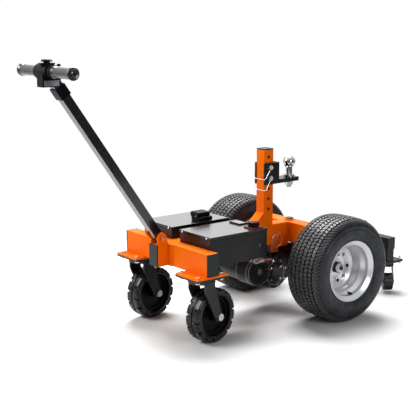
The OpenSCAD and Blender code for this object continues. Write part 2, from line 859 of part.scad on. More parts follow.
// Ball mount
module ball_bracket() {
  y0 = -post_reach - bracket_front;
  y1 = -post_reach + bracket_back;
  z1 = bracket_under + bracket_height;
  color(black) difference() {
    union() {
      difference() {
        slab([-bracket_outer, y0, bracket_under], [bracket_outer, y1, z1]);
        slab([-bracket_inner, y0 - over, bracket_under - over],
          [bracket_inner, y1 - bracket_plate, z1 + over]);
      }
      slab([-platform_half, y1, platform_top - platform_thick], [platform_half, platform_tail, platform_top]);
    }
    for (z = [upper_hole, lower_hole])
      bore_x(bracket_outer, -post_reach, z, pin_bore);
    rod_z(platform_top - platform_thick - over, platform_top + over, 0, 0, shank_radius + plug_gap);
  }
}

module hitch_ball() {
  flat_share = 0.9;
  neck_share = 0.5;
  color(silver) {
    difference() {
      translate([0, 0, ball_height]) sphere(r = ball_radius);
      translate([-ball_radius, -ball_radius, ball_height + ball_radius * flat_share])
        cube(2 * ball_radius);
    }
    rod_z(platform_top, ball_height - ball_radius * neck_share, 0, 0, neck_radius);
    rod_z(platform_top, platform_top + ball_base_height, 0, 0, ball_base_radius);
    rod_z(platform_top - platform_thick - shank_drop, platform_top, 0, 0, shank_radius);
  }
}

module ball_nut() {
  color(steel) difference() {
    translate([0, 0, platform_top - platform_thick - ball_nut_height])
      hex_bar(ball_nut_height, ball_nut_flats);
    rod_z(platform_top - platform_thick - shank_drop, platform_top, 0, 0, shank_radius + run_gap);
  }
}

// Pin through the post with its bail wire hanging in front
module hitch_pin(height, rest) {
  slope = acos((rest + wire_radius + bracket_gap) / bail_reach);
  side = bracket_outer + pin_head_height - wire_radius - bracket_gap;
  far = bracket_outer + pin_tip - 2 * wire_radius;
  color(steel) translate([0, -post_reach, height]) {
    rod_x(-bracket_outer - pin_tip, bracket_outer + bracket_gap, 0, 0, pin_radius);
    rod_x(bracket_outer + bracket_gap, bracket_outer + bracket_gap + pin_head_height, 0, 0, pin_head_radius);
    rotate([slope, 0, 0]) {
      rod_y(bail_bend - bail_reach, 0, side, 0, wire_radius);
      rod_y(bail_bend - bail_reach, 0, -far, 0, wire_radius);
      rod_x(bail_bend - far, side - bail_bend, -bail_reach, 0, wire_radius);
      translate([side - bail_bend, bail_bend - bail_reach, 0]) rotate([0, 0, -quarter_turn])
        rotate_extrude(angle = quarter_turn) translate([bail_bend, 0]) circle(r = wire_radius);
      translate([bail_bend - far, bail_bend - bail_reach, 0]) rotate([0, 0, half_turn])
        rotate_extrude(angle = quarter_turn) translate([bail_bend, 0]) circle(r = wire_radius);
    }
  }
}
module hitch_pin_upper() {
  hitch_pin(upper_hole, bracket_front);
}
module hitch_pin_lower() {
  hitch_pin(lower_hole, post_half);
}

module frame_pin() {
  head_end = spine_half + bracket_gap + pin_head_height;
  color(steel) translate([0, -frame_pin_reach, tube_middle]) {
    rod_x(-spine_half - pin_tip, spine_half + bracket_gap, 0, 0, pin_radius);
    rod_x(spine_half + bracket_gap, head_end, 0, 0, pin_head_radius);
    translate([head_end - 2 * wire_radius, 0, -ring_radius]) rotate([0, quarter_turn, 0])
      rotate_extrude() translate([ring_radius, 0]) circle(r = wire_radius);
  }
}

// Battery boxes
box_front = beam_back + box_gap;
box_under = frame_under + box_rise;
box_back = box_front + box_length;
box_inner = spine_half;
box_outer = spine_half + box_width;
box_top = box_under + box_height;
lid_top = box_top + sheet;
module battery_box() {
  hole_height = box_under + box_height * hole_share;
  color(black) difference() {
    slab([box_inner, box_front, box_under], [box_outer, box_back, box_top]);
    slab([box_inner + sheet, box_front + sheet, box_under + sheet],
      [box_outer - sheet, box_back - sheet, box_top + over]);
    rod_x(box_outer - sheet - over, box_outer + over, box_back - hole_back, hole_height, cable_hole_radius);
  }
}
hole_share = 0.45;
module battery_boxes() {
  both_sides() battery_box();
}

module battery_lid() {
  skirt = lid_gap + sheet;
  color(silver) difference() {
    slab([box_inner - skirt, box_front - skirt, lid_top - lid_rim],
      [box_outer + skirt, box_back + skirt, lid_top]);
    slab([box_inner - lid_gap, box_front - lid_gap, lid_top - lid_rim - over],
      [box_outer + lid_gap, box_back + lid_gap, box_top]);
  }
}
module battery_lid_right() {
  battery_lid();
}
module battery_lid_left() {
  mirror([1, 0, 0]) battery_lid();
}

// Sealed battery blocks with two terminals each
module batteries() {
  gap = sheet + cell_gap;
  top = box_under + sheet + cell_height;
  color(grey) both_sides() {
    slab([box_inner + gap, box_front + gap, box_under + sheet], [box_outer - gap, box_back - gap, top]);
    for (x = [box_inner + terminal_side, box_outer - terminal_side])
      rod_z(top, top + terminal_height, x, box_front + terminal_in, terminal_radius);
  }
}

module lid_screws() {
  front = box_front - lid_gap - sheet;
  back = box_back + lid_gap + sheet;
  z = lid_top - lid_rim / 2;
  color(steel) both_sides() for (x = [box_inner + screw_in, box_outer - screw_in]) {
    rod_y(front - screw_height, front, x, z, lid_screw_radius);
    rod_y(back, back + screw_height, x, z, lid_screw_radius);
  }
}

// Lid fittings
module charge_block() {
  right = -spine_half - charge_in;
  left = right - charge_width;
  top = lid_top + charge_height;
  front = box_back - charge_reach;
  back = front + charge_depth;
  color(black) {
    difference() {
      slab([left, front, lid_top], [right, back, top]);
      slab([left - over, front - over, top - charge_step], [left + charge_step, back + over, top + over]);
    }
    rod_y(back, back + plug_length, left + plug_in, lid_top + charge_height / 2, plug_radius);
  }
}

module charge_gauge() {
  outer = [gauge_width / 2, gauge_depth / 2, gauge_height];
  inner = [gauge_width / 2 - gauge_edge, gauge_depth / 2 - gauge_edge];
  color(black) translate([spine_half + gauge_in, box_back - gauge_reach, lid_top]) difference() {
    slab([-outer.x, -outer.y, 0], outer);
    slab([-inner.x, -inner.y, gauge_height / 2], [inner.x, inner.y, gauge_height + over]);
  }
}

module at_isolator() {
  translate([box_outer - isolator_in, box_back - isolator_reach, lid_top]) children();
}
module isolator_base() {
  half = isolator_side / 2;
  color(red) at_isolator() difference() {
    slab([-half, -half, 0], [half, half, isolator_base_height]);
    rod_z(isolator_base_height - spindle_depth, isolator_base_height + over, 0, 0, spindle_radius + run_gap);
  }
}
module isolator_knob() {
  color(black) at_isolator() translate([0, 0, isolator_base_height + bracket_gap]) {
    difference() {
      rod_z(0, knob_height, 0, 0, knob_radius);
      for (i = [1 : flute_count]) rotate([0, 0, i * full_turn / flute_count])
        rod_z(flute_base, knob_height + over, knob_radius + flute_radius / 2, 0, flute_radius);
    }
    rod_z(-spindle_depth, 0, 0, 0, spindle_radius);
  }
}

// Drive wheels, drawn with the wheel axis along +Z, outside up
module at_right_wheel() {
  translate([wheel_offset, 0, tyre_radius]) rotate([0, quarter_turn, 0]) children();
}
module at_left_wheel() {
  mirror([1, 0, 0]) at_right_wheel() children();
}

// Tyre section: shares of the height of each face above the rim flange and of the half width
tyre_outer_shares = [[1, 0], [0.99, 0.4], [0.965, 0.72], [0.89, 0.86], [0.7, 0.97], [0.48, 1],
  [0.26, 0.985], [0.06, 0.945]];
tyre_inner_shares = [[0.045, 0.8], [0.23, 0.86], [0.52, 0.88], [0.75, 0.84], [0.88, 0.7], [0.97, 0.48],
  [1, 0]];
tyre_half = tyre_width / 2;
tyre_wall_height = tyre_radius - flange_radius;
tyre_inner_height = tyre_wall_height - tread_depth - carcass;
function tyre_points(shares, height) = [for (s = shares) [flange_radius + s[0] * height, s[1] * tyre_half]];
bead_face = rim_half - rim_sheet - run_gap;
function bead_points() = [[flange_radius + run_gap, rim_half], [flange_radius + run_gap, bead_face],
  [bead_radius + run_gap, bead_face], [bead_radius + run_gap, bead_face - bead_width]];
function mirrored(points) = [for (i = [len(points) - 2 : -1 : 1]) [points[i].x, -points[i].y]];
module tyre_section() {
  half = concat(tyre_points(tyre_outer_shares, tyre_wall_height), bead_points(),
    tyre_points(tyre_inner_shares, tyre_inner_height));
  polygon(concat(half, mirrored(half)));
}
groove_shares = [-0.5, -0.25, 0, 0.25, 0.5];
shoulder_share = 0.66;
shoulder_cut_share = 0.15;
shoulder_long_share = 0.5;
shoulder_turn_share = 0.25;
module drive_tyre() {
  step = full_turn / tread_count;
  floor_radius = tyre_radius - tread_depth;
  color(rubber) difference() {
    rotate_extrude() tyre_section();
    rotate_extrude() for (g = groove_shares)
      translate([floor_radius, g * tyre_half - rib_groove / 2]) square([tread_depth + over, rib_groove]);
    for (i = [0 : tread_count - 1]) {
      rotate([0, 0, i * step]) translate([floor_radius, 0, 0]) rotate([groove_slope, 0, 0])
        translate([0, -cross_groove / 2, -tyre_half]) cube([2 * tread_depth, cross_groove, tyre_width]);
      for (s = [-1, 1])
        rotate([0, 0, (i + s * shoulder_turn_share) * step])
          translate([tyre_radius - tyre_wall_height * shoulder_cut_share, -cross_groove / 2,
            (s > 0 ? shoulder_share : -shoulder_share - shoulder_long_share) * tyre_half])
            cube([tyre_wall_height, cross_groove, tyre_half * shoulder_long_share]);
    }
  }
}
module tyre_right() {
  at_right_wheel() drive_tyre();
}
module tyre_left() {
  at_left_wheel() drive_tyre();
}

// Slopes of the rim well, as shares of the rim half width
well_shares = [0.66, 0.5];
vent_circle_share = 0.83;
function rim_outer() = [[flange_radius, rim_half], [flange_radius, rim_half - rim_sheet],
  [bead_radius, rim_half - rim_sheet], [bead_radius, rim_half * well_shares[0]],
  [bead_radius - well_depth, rim_half * well_shares[1]]];
function rim_inner() = [[bead_radius - rim_sheet, rim_half],
  [bead_radius - rim_sheet, rim_half * well_shares[0]],
  [bead_radius - rim_sheet - well_depth, rim_half * well_shares[1]]];
function below(points) = [for (p = points) [p.x, -p.y]];
function backwards(points) = [for (i = [len(points) - 1 : -1 : 0]) points[i]];
module drive_rim() {
  well = bead_radius - well_depth;
  edge = well - rim_sheet / 2;
  flat = hub_flange_radius + disc_thick;
  hole = hub_cover_radius + plug_gap;
  low = -disc_offset - disc_thick / 2;
  high = disc_thick / 2 - disc_offset;
  color(silver) {
    rotate_extrude() polygon(concat(rim_outer(), backwards(below(rim_outer())), below(rim_inner()),
      backwards(rim_inner())));
    difference() {
      rotate_extrude() polygon([[hole, low], [flat, low], [edge, low + disc_dish], [edge, high + disc_dish],
        [flat, high], [hole, high]]);
      for (i = [1 : lug_count]) rotate([0, 0, i * full_turn / lug_count])
        rod_z(low - over, high + over, lug_circle, 0, stud_radius + plug_gap);
      for (i = [1 : vent_count]) rotate([0, 0, (i + 1 / 2) * full_turn / vent_count])
        rod_z(low - over, high + disc_dish + over, well * vent_circle_share, 0, vent_radius);
    }
  }
}
module rim_right() {
  at_right_wheel() drive_rim();
}
module rim_left() {
  at_left_wheel() drive_rim();
}

module drive_hub() {
  face = -disc_offset - disc_thick / 2;
  color(black) {
    rod_z(shaft_inner - wheel_offset, face, 0, 0, shaft_radius);
    rod_z(axle_half + hub_gap - wheel_offset, face, 0, 0, hub_neck_radius);
    rod_z(face - hub_flange_thick, face, 0, 0, hub_flange_radius);
    rod_z(face, face + cover_length, 0, 0, hub_cover_radius);
    rod_z(face, face + axle_nut_length, 0, 0, axle_nut_radius);
    for (i = [1 : lug_count]) rotate([0, 0, i * full_turn / lug_count])
      rod_z(face, face + stud_length, lug_circle, 0, stud_radius);
  }
}
module hub_right() {
  at_right_wheel() drive_hub();
}
module hub_left() {
  at_left_wheel() drive_hub();
}

module lug_nuts() {
  face = disc_thick / 2 - disc_offset;
  color(steel) difference() {
    for (i = [1 : lug_count]) rotate([0, 0, i * full_turn / lug_count])
      translate([lug_circle, 0, face]) hex_bar(lug_height, lug_flats);
    for (i = [1 : lug_count]) rotate([0, 0, i * full_turn / lug_count])
      rod_z(face - over, face + lug_height + over, lug_circle, 0, stud_radius + run_gap);
  }
}
module lug_nuts_right() {
  at_right_wheel() lug_nuts();
}
module lug_nuts_left() {
  at_left_wheel() lug_nuts();
}

// Drive unit
// Two circles joined by their outer tangents
module link(a, ra, b, rb) {
  d = b - a;
  turn = atan2(d.y, d.x);
  lean = acos((ra - rb) / norm(d));
  translate(a) circle(r = ra);
  translate(b) circle(r = rb);
  polygon([a + ra * [cos(turn + lean), sin(turn + lean)], a + ra * [cos(turn - lean), sin(turn - lean)],
    b + rb * [cos(turn - lean), sin(turn - lean)], b + rb * [cos(turn + lean), sin(turn + lean)]]);
}
axle_half = wheel_offset - axle_in;
case_mid_height = tyre_radius - case_mid_drop;
motor_height = tyre_radius - motor_drop;
cross_bolt_height = frame_under - cross_bolt_drop;
axle_point = [0, tyre_radius];
case_point = [-case_mid_reach, case_mid_height];
motor_point = [-motor_reach, motor_height];
module case_profile(less) {
  link(axle_point, case_axle_radius - less, case_point, case_mid_radius - less);
  link(case_point, case_mid_radius - less, motor_point, case_motor_radius - less);
}
module across(half) {
  rotate([quarter_turn, 0, quarter_turn]) translate([0, 0, -half]) linear_extrude(2 * half) children();
}
module transaxle_case() {
  color(black) difference() {
    union() {
      across(case_half) case_profile(0);
      mid_rod(axle_half, 0, tyre_radius, axle_tube_radius);
      slab([-lug_half, -cross_bolt_reach - lug_reach, case_mid_height],
        [lug_half, lug_reach - cross_bolt_reach, cross_bolt_height + lug_rise]);
    }
    across(case_half - case_wall) case_profile(case_wall);
    bore_x(axle_half, 0, tyre_radius, shaft_radius + run_gap);
    bore_x(lug_half, -cross_bolt_reach, cross_bolt_height, cross_bolt_radius + run_gap);
  }
}

module at_motor(turn) {
  translate([0, -motor_reach, motor_height]) rotate([turn, 0, 0]) children();
}
module motor_can() {
  color(black) rod_x(case_half, motor_right - shield_thick, -motor_reach, motor_height, motor_radius);
}
module motor_shield() {
  circle_radius = motor_radius - 2 * shield_bolt_radius;
  bolt_top = motor_right + shield_bolt_height;
  color(grey) {
    rod_x(motor_right - shield_thick, motor_right, -motor_reach, motor_height, motor_radius);
    rod_x(motor_right, bolt_top, -motor_reach, motor_height, shield_boss_radius);
    for (i = [1 : shield_bolts]) at_motor((i + 1 / 2) * full_turn / shield_bolts)
      rod_x(motor_right - shield_bolt_height, bolt_top, circle_radius, 0, shield_bolt_radius);
  }
}
module parking_brake() {
  color(black) rod_x(-case_half - brake_length, -case_half, -motor_reach, motor_height, brake_radius);
}
// Two studs on the end shield for the motor leads
module motor_terminals() {
  end = motor_right + motor_post_length;
  color(steel) for (a = [terminal_turn, quarter_turn - terminal_turn])
    at_motor(a) rod_x(motor_right, end, motor_radius - terminal_inset, 0, motor_post_radius);
}

// Channel under the spine and seats under the rear beam
module axle_saddle() {
  front = -cross_bolt_reach - saddle_ahead;
  step = saddle_behind - cross_bolt_reach;
  color(orange) {
    difference() {
      union() {
        slab([-spine_half, front, frame_under - saddle_drop], [spine_half, step, frame_under]);
        slab([-spine_half, step, frame_under - saddle_rear_drop], [spine_half, spine_back, frame_under]);
      }
      slab([tube_wall - spine_half, front - over, frame_under - saddle_drop - over],
        [spine_half - tube_wall, spine_back + over, frame_under - tube_wall]);
      bore_x(spine_half, -cross_bolt_reach, cross_bolt_height, cross_bolt_radius + run_gap);
    }
    both_sides() difference() {
      seat_block(tyre_radius + plug_gap, frame_under);
      strap_bolt_holes(cross_bolt_radius + plug_gap);
    }
  }
}
// Block across the axle tube, bored for it
module seat_block(from, to) {
  translate([seat_middle, 0, 0]) difference() {
    slab([-seat_half, -seat_depth, from], [seat_half, seat_depth, to]);
    bore_x(seat_half, 0, tyre_radius, axle_tube_radius + plug_gap);
  }
}
module strap_bolt_holes(r) {
  for (s = [-1, 1])
    rod_z(tyre_radius - strap_height - over, frame_under - tube_wall, seat_middle, s * strap_bolt_reach, r);
}
module axle_straps() {
  color(steel) {
    both_sides() {
      seat_block(tyre_radius - strap_height, tyre_radius - plug_gap);
      strap_bolt_holes(cross_bolt_radius);
      for (s = [-1, 1]) translate([seat_middle, s * strap_bolt_reach, tyre_radius - strap_height - bolt_head])
        hex_bar(bolt_head, bolt_flats);
    }
    mid_rod(spine_half + bolt_head, -cross_bolt_reach, cross_bolt_height, cross_bolt_radius);
    both_sides() translate([spine_half, -cross_bolt_reach, cross_bolt_height]) rotate([0, quarter_turn, 0])
      hex_bar(bolt_head, bolt_flats);
  }
}

// Front casters: fixed plates, then swivelling halves
plate_top = frame_under - pad_thick;
plate_under = plate_top - plate_thick;
race_under = plate_under - race_height;
crown_top = race_under - bracket_gap;
crown_under = crown_top - crown_thick;
caster_radius = (crown_under - caster_headroom) / 2;
module caster_plates() {
  color(black) both_sides() {
    difference() {
      pad_plate(plate_under, plate_top);
      plate_holes(plate_bolt_radius + plug_gap, plate_under - over, plate_top + over);
    }
    translate([caster_offset, pad_middle_y, 0]) {
      rod_z(race_under, plate_under, 0, 0, race_radius);
      rod_z(crown_under - kingpin_nut, race_under, 0, 0, kingpin_radius);
      translate([0, 0, crown_under - kingpin_nut - bracket_gap]) hex_bar(kingpin_nut, kingpin_flats);
    }
  }
}

module plate_bolts() {
  color(steel) both_sides() {
    plate_holes(plate_bolt_radius, plate_under - plate_nut, frame_under);
    at_plate_bolts() {
      translate([0, 0, frame_under]) hex_bar(bolt_head, bolt_flats);
      translate([0, 0, plate_under - plate_nut]) hex_bar(plate_nut, bolt_flats);
    }
    foot_bolts();
  }
}

module at_caster(side) {
  translate([side * caster_offset, pad_middle_y, 0]) rotate([0, 0, caster_yaw]) children();
}
leg_inner = caster_width / 2 + fork_gap;
module caster_fork() {
  color(black) {
    difference() {
      rod_z(crown_under, crown_top, 0, 0, crown_radius);
      rod_z(crown_under - over, crown_top + over, 0, 0, kingpin_radius + run_gap);
    }
    difference() {
      for (s = [-1, 1]) translate([s * (leg_inner + fork_plate / 2), 0, 0]) across(fork_plate / 2) {
        link([0, crown_under - leg_shoulder], leg_top_radius, [caster_trail, caster_radius], leg_foot_radius);
        translate([-leg_top_radius, crown_under - leg_shoulder]) square([2 * leg_top_radius, leg_shoulder]);
      }
      mid_rod(leg_inner + 2 * fork_plate, caster_trail, caster_radius, caster_axle_radius + run_gap);
    }
  }
}
module caster_axle() {
  end = leg_inner + fork_plate;
  color(steel) {
    mid_rod(end + axle_head, caster_trail, caster_radius, caster_axle_radius);
    both_sides() translate([end, caster_trail, caster_radius]) rotate([0, quarter_turn, 0])
      hex_bar(axle_head, axle_flats);
  }
}
module caster_hub() {
  rim = caster_radius - caster_tread;
  boss = caster_width / 2 + fork_gap - boss_slack;
  color(black) translate([0, caster_trail, caster_radius]) rotate([0, quarter_turn, 0]) difference() {
    union() {
      difference() {
        rod_z(-caster_web, caster_web, 0, 0, rim);
        for (s = [0, 1]) mirror([0, 0, s]) rod_z(caster_dish, caster_web + over, 0, 0, rim - caster_ring);
      }
      rod_z(-boss, boss, 0, 0, caster_boss_radius);
    }
    rod_z(-boss - over, boss + over, 0, 0, caster_axle_radius + run_gap);
  }
}
notch_turn_share = 0.25;
module caster_tyre() {
  half = caster_width / 2;
  inner = caster_radius - caster_tread;
  shoulder = caster_radius - tread_edge;
  color(rubber) translate([0, caster_trail, caster_radius]) rotate([0, quarter_turn, 0]) difference() {
    rotate_extrude() polygon([[inner, -half], [shoulder, -half], [caster_radius, tread_edge - half],
      [caster_radius, half - tread_edge], [shoulder, half], [inner, half]]);
    for (i = [1 : notch_count], s = [-1, 1])
      rotate([0, 0, (i + s * notch_turn_share) * full_turn / notch_count])
        translate([shoulder, -notch_width / 2, s > 0 ? half - notch_depth : -half - over])
          cube([tread_edge + over, notch_width, notch_depth + over]);
  }
}
module caster_fork_right() {
  at_caster(1) caster_fork();
}
module caster_fork_left() {
  at_caster(-1) caster_fork();
}
module caster_axle_right() {
  at_caster(1) caster_axle();
}
module caster_axle_left() {
  at_caster(-1) caster_axle();
}
module caster_hub_right() {
  at_caster(1) caster_hub();
}
module caster_hub_left() {
  at_caster(-1) caster_hub();
}
module caster_tyre_right() {
  at_caster(1) caster_tyre();
}
module caster_tyre_left() {
  at_caster(-1) caster_tyre();
}

// Rear outrigger
tail_top = frame_under + tail_rise;
outrigger_under = tail_top - tail_height - outrigger_height;
stabiliser_offset = outrigger_half - stabiliser_in;
stabiliser_back = outrigger_back + stabiliser_setback;
foot_under = foot_top - foot_thick;
module at_foot_bolts() {
  for (sx = [-1, 1], sy = [-1, 1])
    translate([stabiliser_offset + sx * foot_bolt_across / 2, stabiliser_back + sy * foot_bolt_along / 2, 0])
      children();
}
module foot_plate(from, to) {
  difference() {
    translate([stabiliser_offset - foot_width / 2, stabiliser_back - foot_length / 2, from])
      cube([foot_width, foot_length, to - from]);
    at_foot_bolts() rod_z(from - over, to + over, 0, 0, foot_bolt_radius + plug_gap);
  }
}
module outrigger() {
  back = outrigger_back + outrigger_depth;
  tail_under = tail_top - tail_height;
  foot_inner = outrigger_half - leg_foot_width;
  color(black) {
    tube_y(rear_beam_back, back, -tail_width / 2, tail_width / 2, tail_under, tail_top, outrigger_wall);
    tube_x(-outrigger_half, outrigger_half, outrigger_back, back, outrigger_under, tail_under,
      outrigger_wall);
    both_sides() {
      translate([0, back, 0]) rotate([quarter_turn, 0, 0]) linear_extrude(outrigger_depth)
        polygon([[outrigger_half - outrigger_depth, outrigger_under + outrigger_wall],
          [outrigger_half - outrigger_depth, outrigger_under], [foot_inner, foot_top],
          [foot_inner, foot_under], [outrigger_half, foot_under],
          [outrigger_half, outrigger_under + outrigger_wall]]);
      foot_plate(foot_under, foot_top);
    }
  }
}

small_plate_under = foot_under - stabiliser_plate;
small_race_under = small_plate_under - stabiliser_race_height;
module stabiliser_plates() {
  color(grey) both_sides() {
    foot_plate(small_plate_under, foot_under);
    translate([stabiliser_offset, stabiliser_back, 0]) {
      rod_z(small_race_under, foot_under, 0, 0, stabiliser_race_radius);
      rod_z(small_race_under - stabiliser_crown_thick - 2 * bracket_gap, foot_under, 0, 0,
        stabiliser_pin_radius);
    }
  }
}
module foot_bolts() {
  at_foot_bolts() {
    rod_z(small_plate_under - foot_bolt_below, foot_top + foot_bolt_above, 0, 0, foot_bolt_radius);
    translate([0, 0, foot_top]) hex_bar(foot_bolt_head, foot_bolt_flats);
    translate([0, 0, small_plate_under - foot_bolt_head]) hex_bar(foot_bolt_head, foot_bolt_flats);
  }
}

module at_stabiliser() {
  translate([stabiliser_offset, stabiliser_back, 0]) rotate([0, 0, stabiliser_yaw]) children();
}
module stabiliser_fork() {
  top = small_race_under - bracket_gap;
  bottom = top - stabiliser_crown_thick;
  inner = stabiliser_width / 2 + stabiliser_leg;
  knee = (top + bottom) / 2 - stabiliser_leg_top;
  color(grey) {
    difference() {
      rod_z(bottom, top, 0, 0, stabiliser_crown_radius);
      rod_z(bottom - over, top + over, 0, 0, stabiliser_pin_radius + run_gap);
    }
    for (s = [-1, 1]) translate([s * (inner + stabiliser_leg / 2), 0, 0]) across(stabiliser_leg / 2) {
      link([0, knee], stabiliser_leg_top, [-stabiliser_trail, stabiliser_height], stabiliser_leg_foot);
      translate([-stabiliser_leg_top, knee]) square([2 * stabiliser_leg_top, bottom - knee]);
    }
    mid_rod(inner + 2 * stabiliser_leg, -stabiliser_trail, stabiliser_height, stabiliser_axle_radius);
  }
}
module stabiliser_wheel() {
  half = stabiliser_width / 2;
  bore = stabiliser_axle_radius + run_gap;
  shoulder = stabiliser_radius - stabiliser_edge;
  color(rubber) translate([0, -stabiliser_trail, stabiliser_height]) rotate([0, quarter_turn, 0])
    rotate_extrude() polygon([[bore, -half], [shoulder, -half], [stabiliser_radius, stabiliser_edge - half],
      [stabiliser_radius, half - stabiliser_edge], [shoulder, half], [bore, half]]);
}
module stabiliser_fork_right() {
  at_stabiliser() stabiliser_fork();
}
module stabiliser_fork_left() {
  mirror([1, 0, 0]) at_stabiliser() stabiliser_fork();
}
module stabiliser_wheel_right() {
  at_stabiliser() stabiliser_wheel();
}
module stabiliser_wheel_left() {
  mirror([1, 0, 0]) at_stabiliser() stabiliser_wheel();
}

// Tiller, drawn with the tube along +Z from its pivot
module at_tiller() {
  translate([0, -pivot_reach, pivot_height]) rotate([quarter_turn - tiller_slope, 0, 0]) children();
}
bar_y = -pivot_reach - tiller_length * cos(tiller_slope);
bar_z = pivot_height + tiller_length * sin(tiller_slope);
tube_end = tiller_length - barrel_radius;
module square_bar(half, from, to) {
  slab([-half, -half, from], [half, half, to]);
}
module tiller_tube() {
  color(black) at_tiller() difference() {
    union() {
      mid_rod(tiller_half, 0, 0, tiller_half);
      square_bar(tiller_half, 0, tube_end);
    }
    square_bar(tiller_half - tiller_wall, foot_solid, tube_end + over);
    bore_x(tiller_half, 0, 0, pivot_radius + run_gap);
  }
}

collar_top = bar_z + barrel_radius + collar_thick / 2;
clamp_left = barrel_half + throttle_width;
module tiller_head() {
  sleeve_top = (bar_z - head_drop - pivot_height) / sin(tiller_slope);
  sleeve_half = tiller_half + sleeve_wall;
  color(black) difference() {
    union() {
      slab([-head_half, bar_y - head_front, bar_z - head_drop],
        [head_half, bar_y - head_front + head_depth, bar_z]);
      rod_x(-clamp_left, barrel_half, bar_y, bar_z, barrel_radius);
      rod_z(bar_z, collar_top - collar_thick, 0, bar_y, collar_radius - collar_thick);
      rod_z(collar_top - collar_thick, collar_top, 0, bar_y, collar_radius);
      at_tiller() square_bar(sleeve_half, sleeve_top - sleeve_length, sleeve_top);
    }
    at_tiller() square_bar(tiller_half + run_gap, 0, tube_end + run_gap);
    bore_x(clamp_left, bar_y, bar_z, bar_radius + run_gap);
    rod_z(bar_z + bar_radius + over, collar_top + over, 0, bar_y, button_stem + run_gap);
  }
}

module stop_button() {
  foot = bar_z + bar_radius + over + button_travel + bracket_gap;
  cap = collar_top + button_travel + bracket_gap;
  top = cap + button_cap;
  color(black) translate([0, bar_y, 0]) rotate_extrude()
    polygon([[0, foot], [button_stem, foot], [button_stem, cap], [button_radius, cap],
      [button_radius, top - button_edge], [button_radius - button_edge, top], [0, top]]);
}

module handlebar() {
  color(steel) difference() {
    mid_rod(bar_half, bar_y, bar_z, bar_radius);
    bore_x(bar_half, bar_y, bar_z, bar_radius - bar_wall);
  }
}

module handgrips() {
  start = clamp_left + grip_gap;
  color(rubber) both_sides() difference() {
    union() {
      rod_x(start, bar_half, bar_y, bar_z, grip_radius - rib_height);
      rod_x(bar_half, bar_half + grip_disc, bar_y, bar_z, grip_disc_radius);
      for (i = [1 : grip_ribs]) translate([0, bar_y, bar_z]) rotate([i * full_turn / grip_ribs, 0, 0])
        slab([start, -rib_width / 2, bar_radius + over], [bar_half, rib_width / 2, grip_radius]);
    }
    rod_x(start - over, bar_half, bar_y, bar_z, bar_radius + run_gap);
    rod_x(bar_half - over, bar_half + grip_disc + over, bar_y, bar_z, grip_hole);
  }
}

module throttle_lever() {
  from = barrel_half + bracket_gap;
  to = from + throttle_width;
  top = bar_z + barrel_radius - throttle_thick;
  color(grey) difference() {
    union() {
      rod_x(from, to, bar_y, bar_z, barrel_radius - ring_drop);
      slab([from, bar_y, top - throttle_thick], [to, bar_y + throttle_tab, top]);
      slab([from, bar_y + throttle_tab - throttle_thick, top - throttle_thick],
        [to, bar_y + throttle_tab, top + throttle_thick]);
    }
    rod_x(from - over, to + over, bar_y, bar_z, bar_radius + run_gap);
  }
}

spine_tube();
front_beam();
rear_beam();
post();
caster_pads();
end_caps();
handle_ears();
handle_pivot();
ball_bracket();
hitch_ball();
ball_nut();
hitch_pin_upper();
hitch_pin_lower();
frame_pin();
battery_boxes();
battery_lid_left();
battery_lid_right();
batteries();
lid_screws();
charge_block();
charge_gauge();
isolator_base();
isolator_knob();
tyre_left();
tyre_right();
rim_left();
rim_right();
hub_left();
hub_right();
lug_nuts_left();
lug_nuts_right();
transaxle_case();
motor_can();
motor_shield();
motor_terminals();
parking_brake();
axle_saddle();
axle_straps();
caster_plates();
plate_bolts();
caster_fork_left();
caster_fork_right();
caster_axle_left();
caster_axle_right();
caster_hub_left();
caster_hub_right();
caster_tyre_left();
caster_tyre_right();
outrigger();
stabiliser_plates();
stabiliser_fork_left();
stabiliser_fork_right();
stabiliser_wheel_left();
stabiliser_wheel_right();
tiller_tube();
tiller_head();
handlebar();
handgrips();
throttle_lever();
stop_button();
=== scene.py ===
"""Dresses the walk-behind electric trailer tug: fine shapes, finishes, studio and camera.

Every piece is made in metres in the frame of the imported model: +X right, +Y away from the tiller,
+Z up, with the floor at z = 0 under the drive axle.
"""

import json
import logging
import math
from dataclasses import dataclass
from enum import Enum
from typing import Any, Mapping, Optional, Sequence

import bmesh
import bpy
import numpy as np
from mathutils import Matrix, Vector

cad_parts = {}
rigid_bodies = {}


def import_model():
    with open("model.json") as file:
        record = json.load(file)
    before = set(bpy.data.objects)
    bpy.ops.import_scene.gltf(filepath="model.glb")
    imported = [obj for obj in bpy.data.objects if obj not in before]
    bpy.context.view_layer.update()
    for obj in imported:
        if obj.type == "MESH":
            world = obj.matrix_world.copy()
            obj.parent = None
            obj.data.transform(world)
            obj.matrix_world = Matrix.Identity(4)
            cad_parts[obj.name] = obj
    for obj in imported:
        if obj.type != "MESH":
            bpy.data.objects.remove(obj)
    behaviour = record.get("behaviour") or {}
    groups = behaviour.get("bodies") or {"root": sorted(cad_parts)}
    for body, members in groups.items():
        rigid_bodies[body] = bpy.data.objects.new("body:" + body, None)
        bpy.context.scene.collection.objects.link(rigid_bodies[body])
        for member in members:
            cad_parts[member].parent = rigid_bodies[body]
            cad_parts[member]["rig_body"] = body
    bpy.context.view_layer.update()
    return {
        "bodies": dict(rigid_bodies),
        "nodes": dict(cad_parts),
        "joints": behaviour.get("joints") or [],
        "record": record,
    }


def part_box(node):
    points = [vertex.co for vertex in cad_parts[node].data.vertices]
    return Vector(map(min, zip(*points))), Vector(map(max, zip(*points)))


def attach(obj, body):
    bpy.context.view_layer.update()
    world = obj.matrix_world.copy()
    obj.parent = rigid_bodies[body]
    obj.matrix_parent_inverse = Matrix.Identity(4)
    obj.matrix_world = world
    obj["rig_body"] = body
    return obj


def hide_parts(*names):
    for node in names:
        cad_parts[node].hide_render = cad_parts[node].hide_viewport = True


log = logging.getLogger("tug")
MM = 0.001
TURN = 2.0 * math.pi
TINY = 1e-12
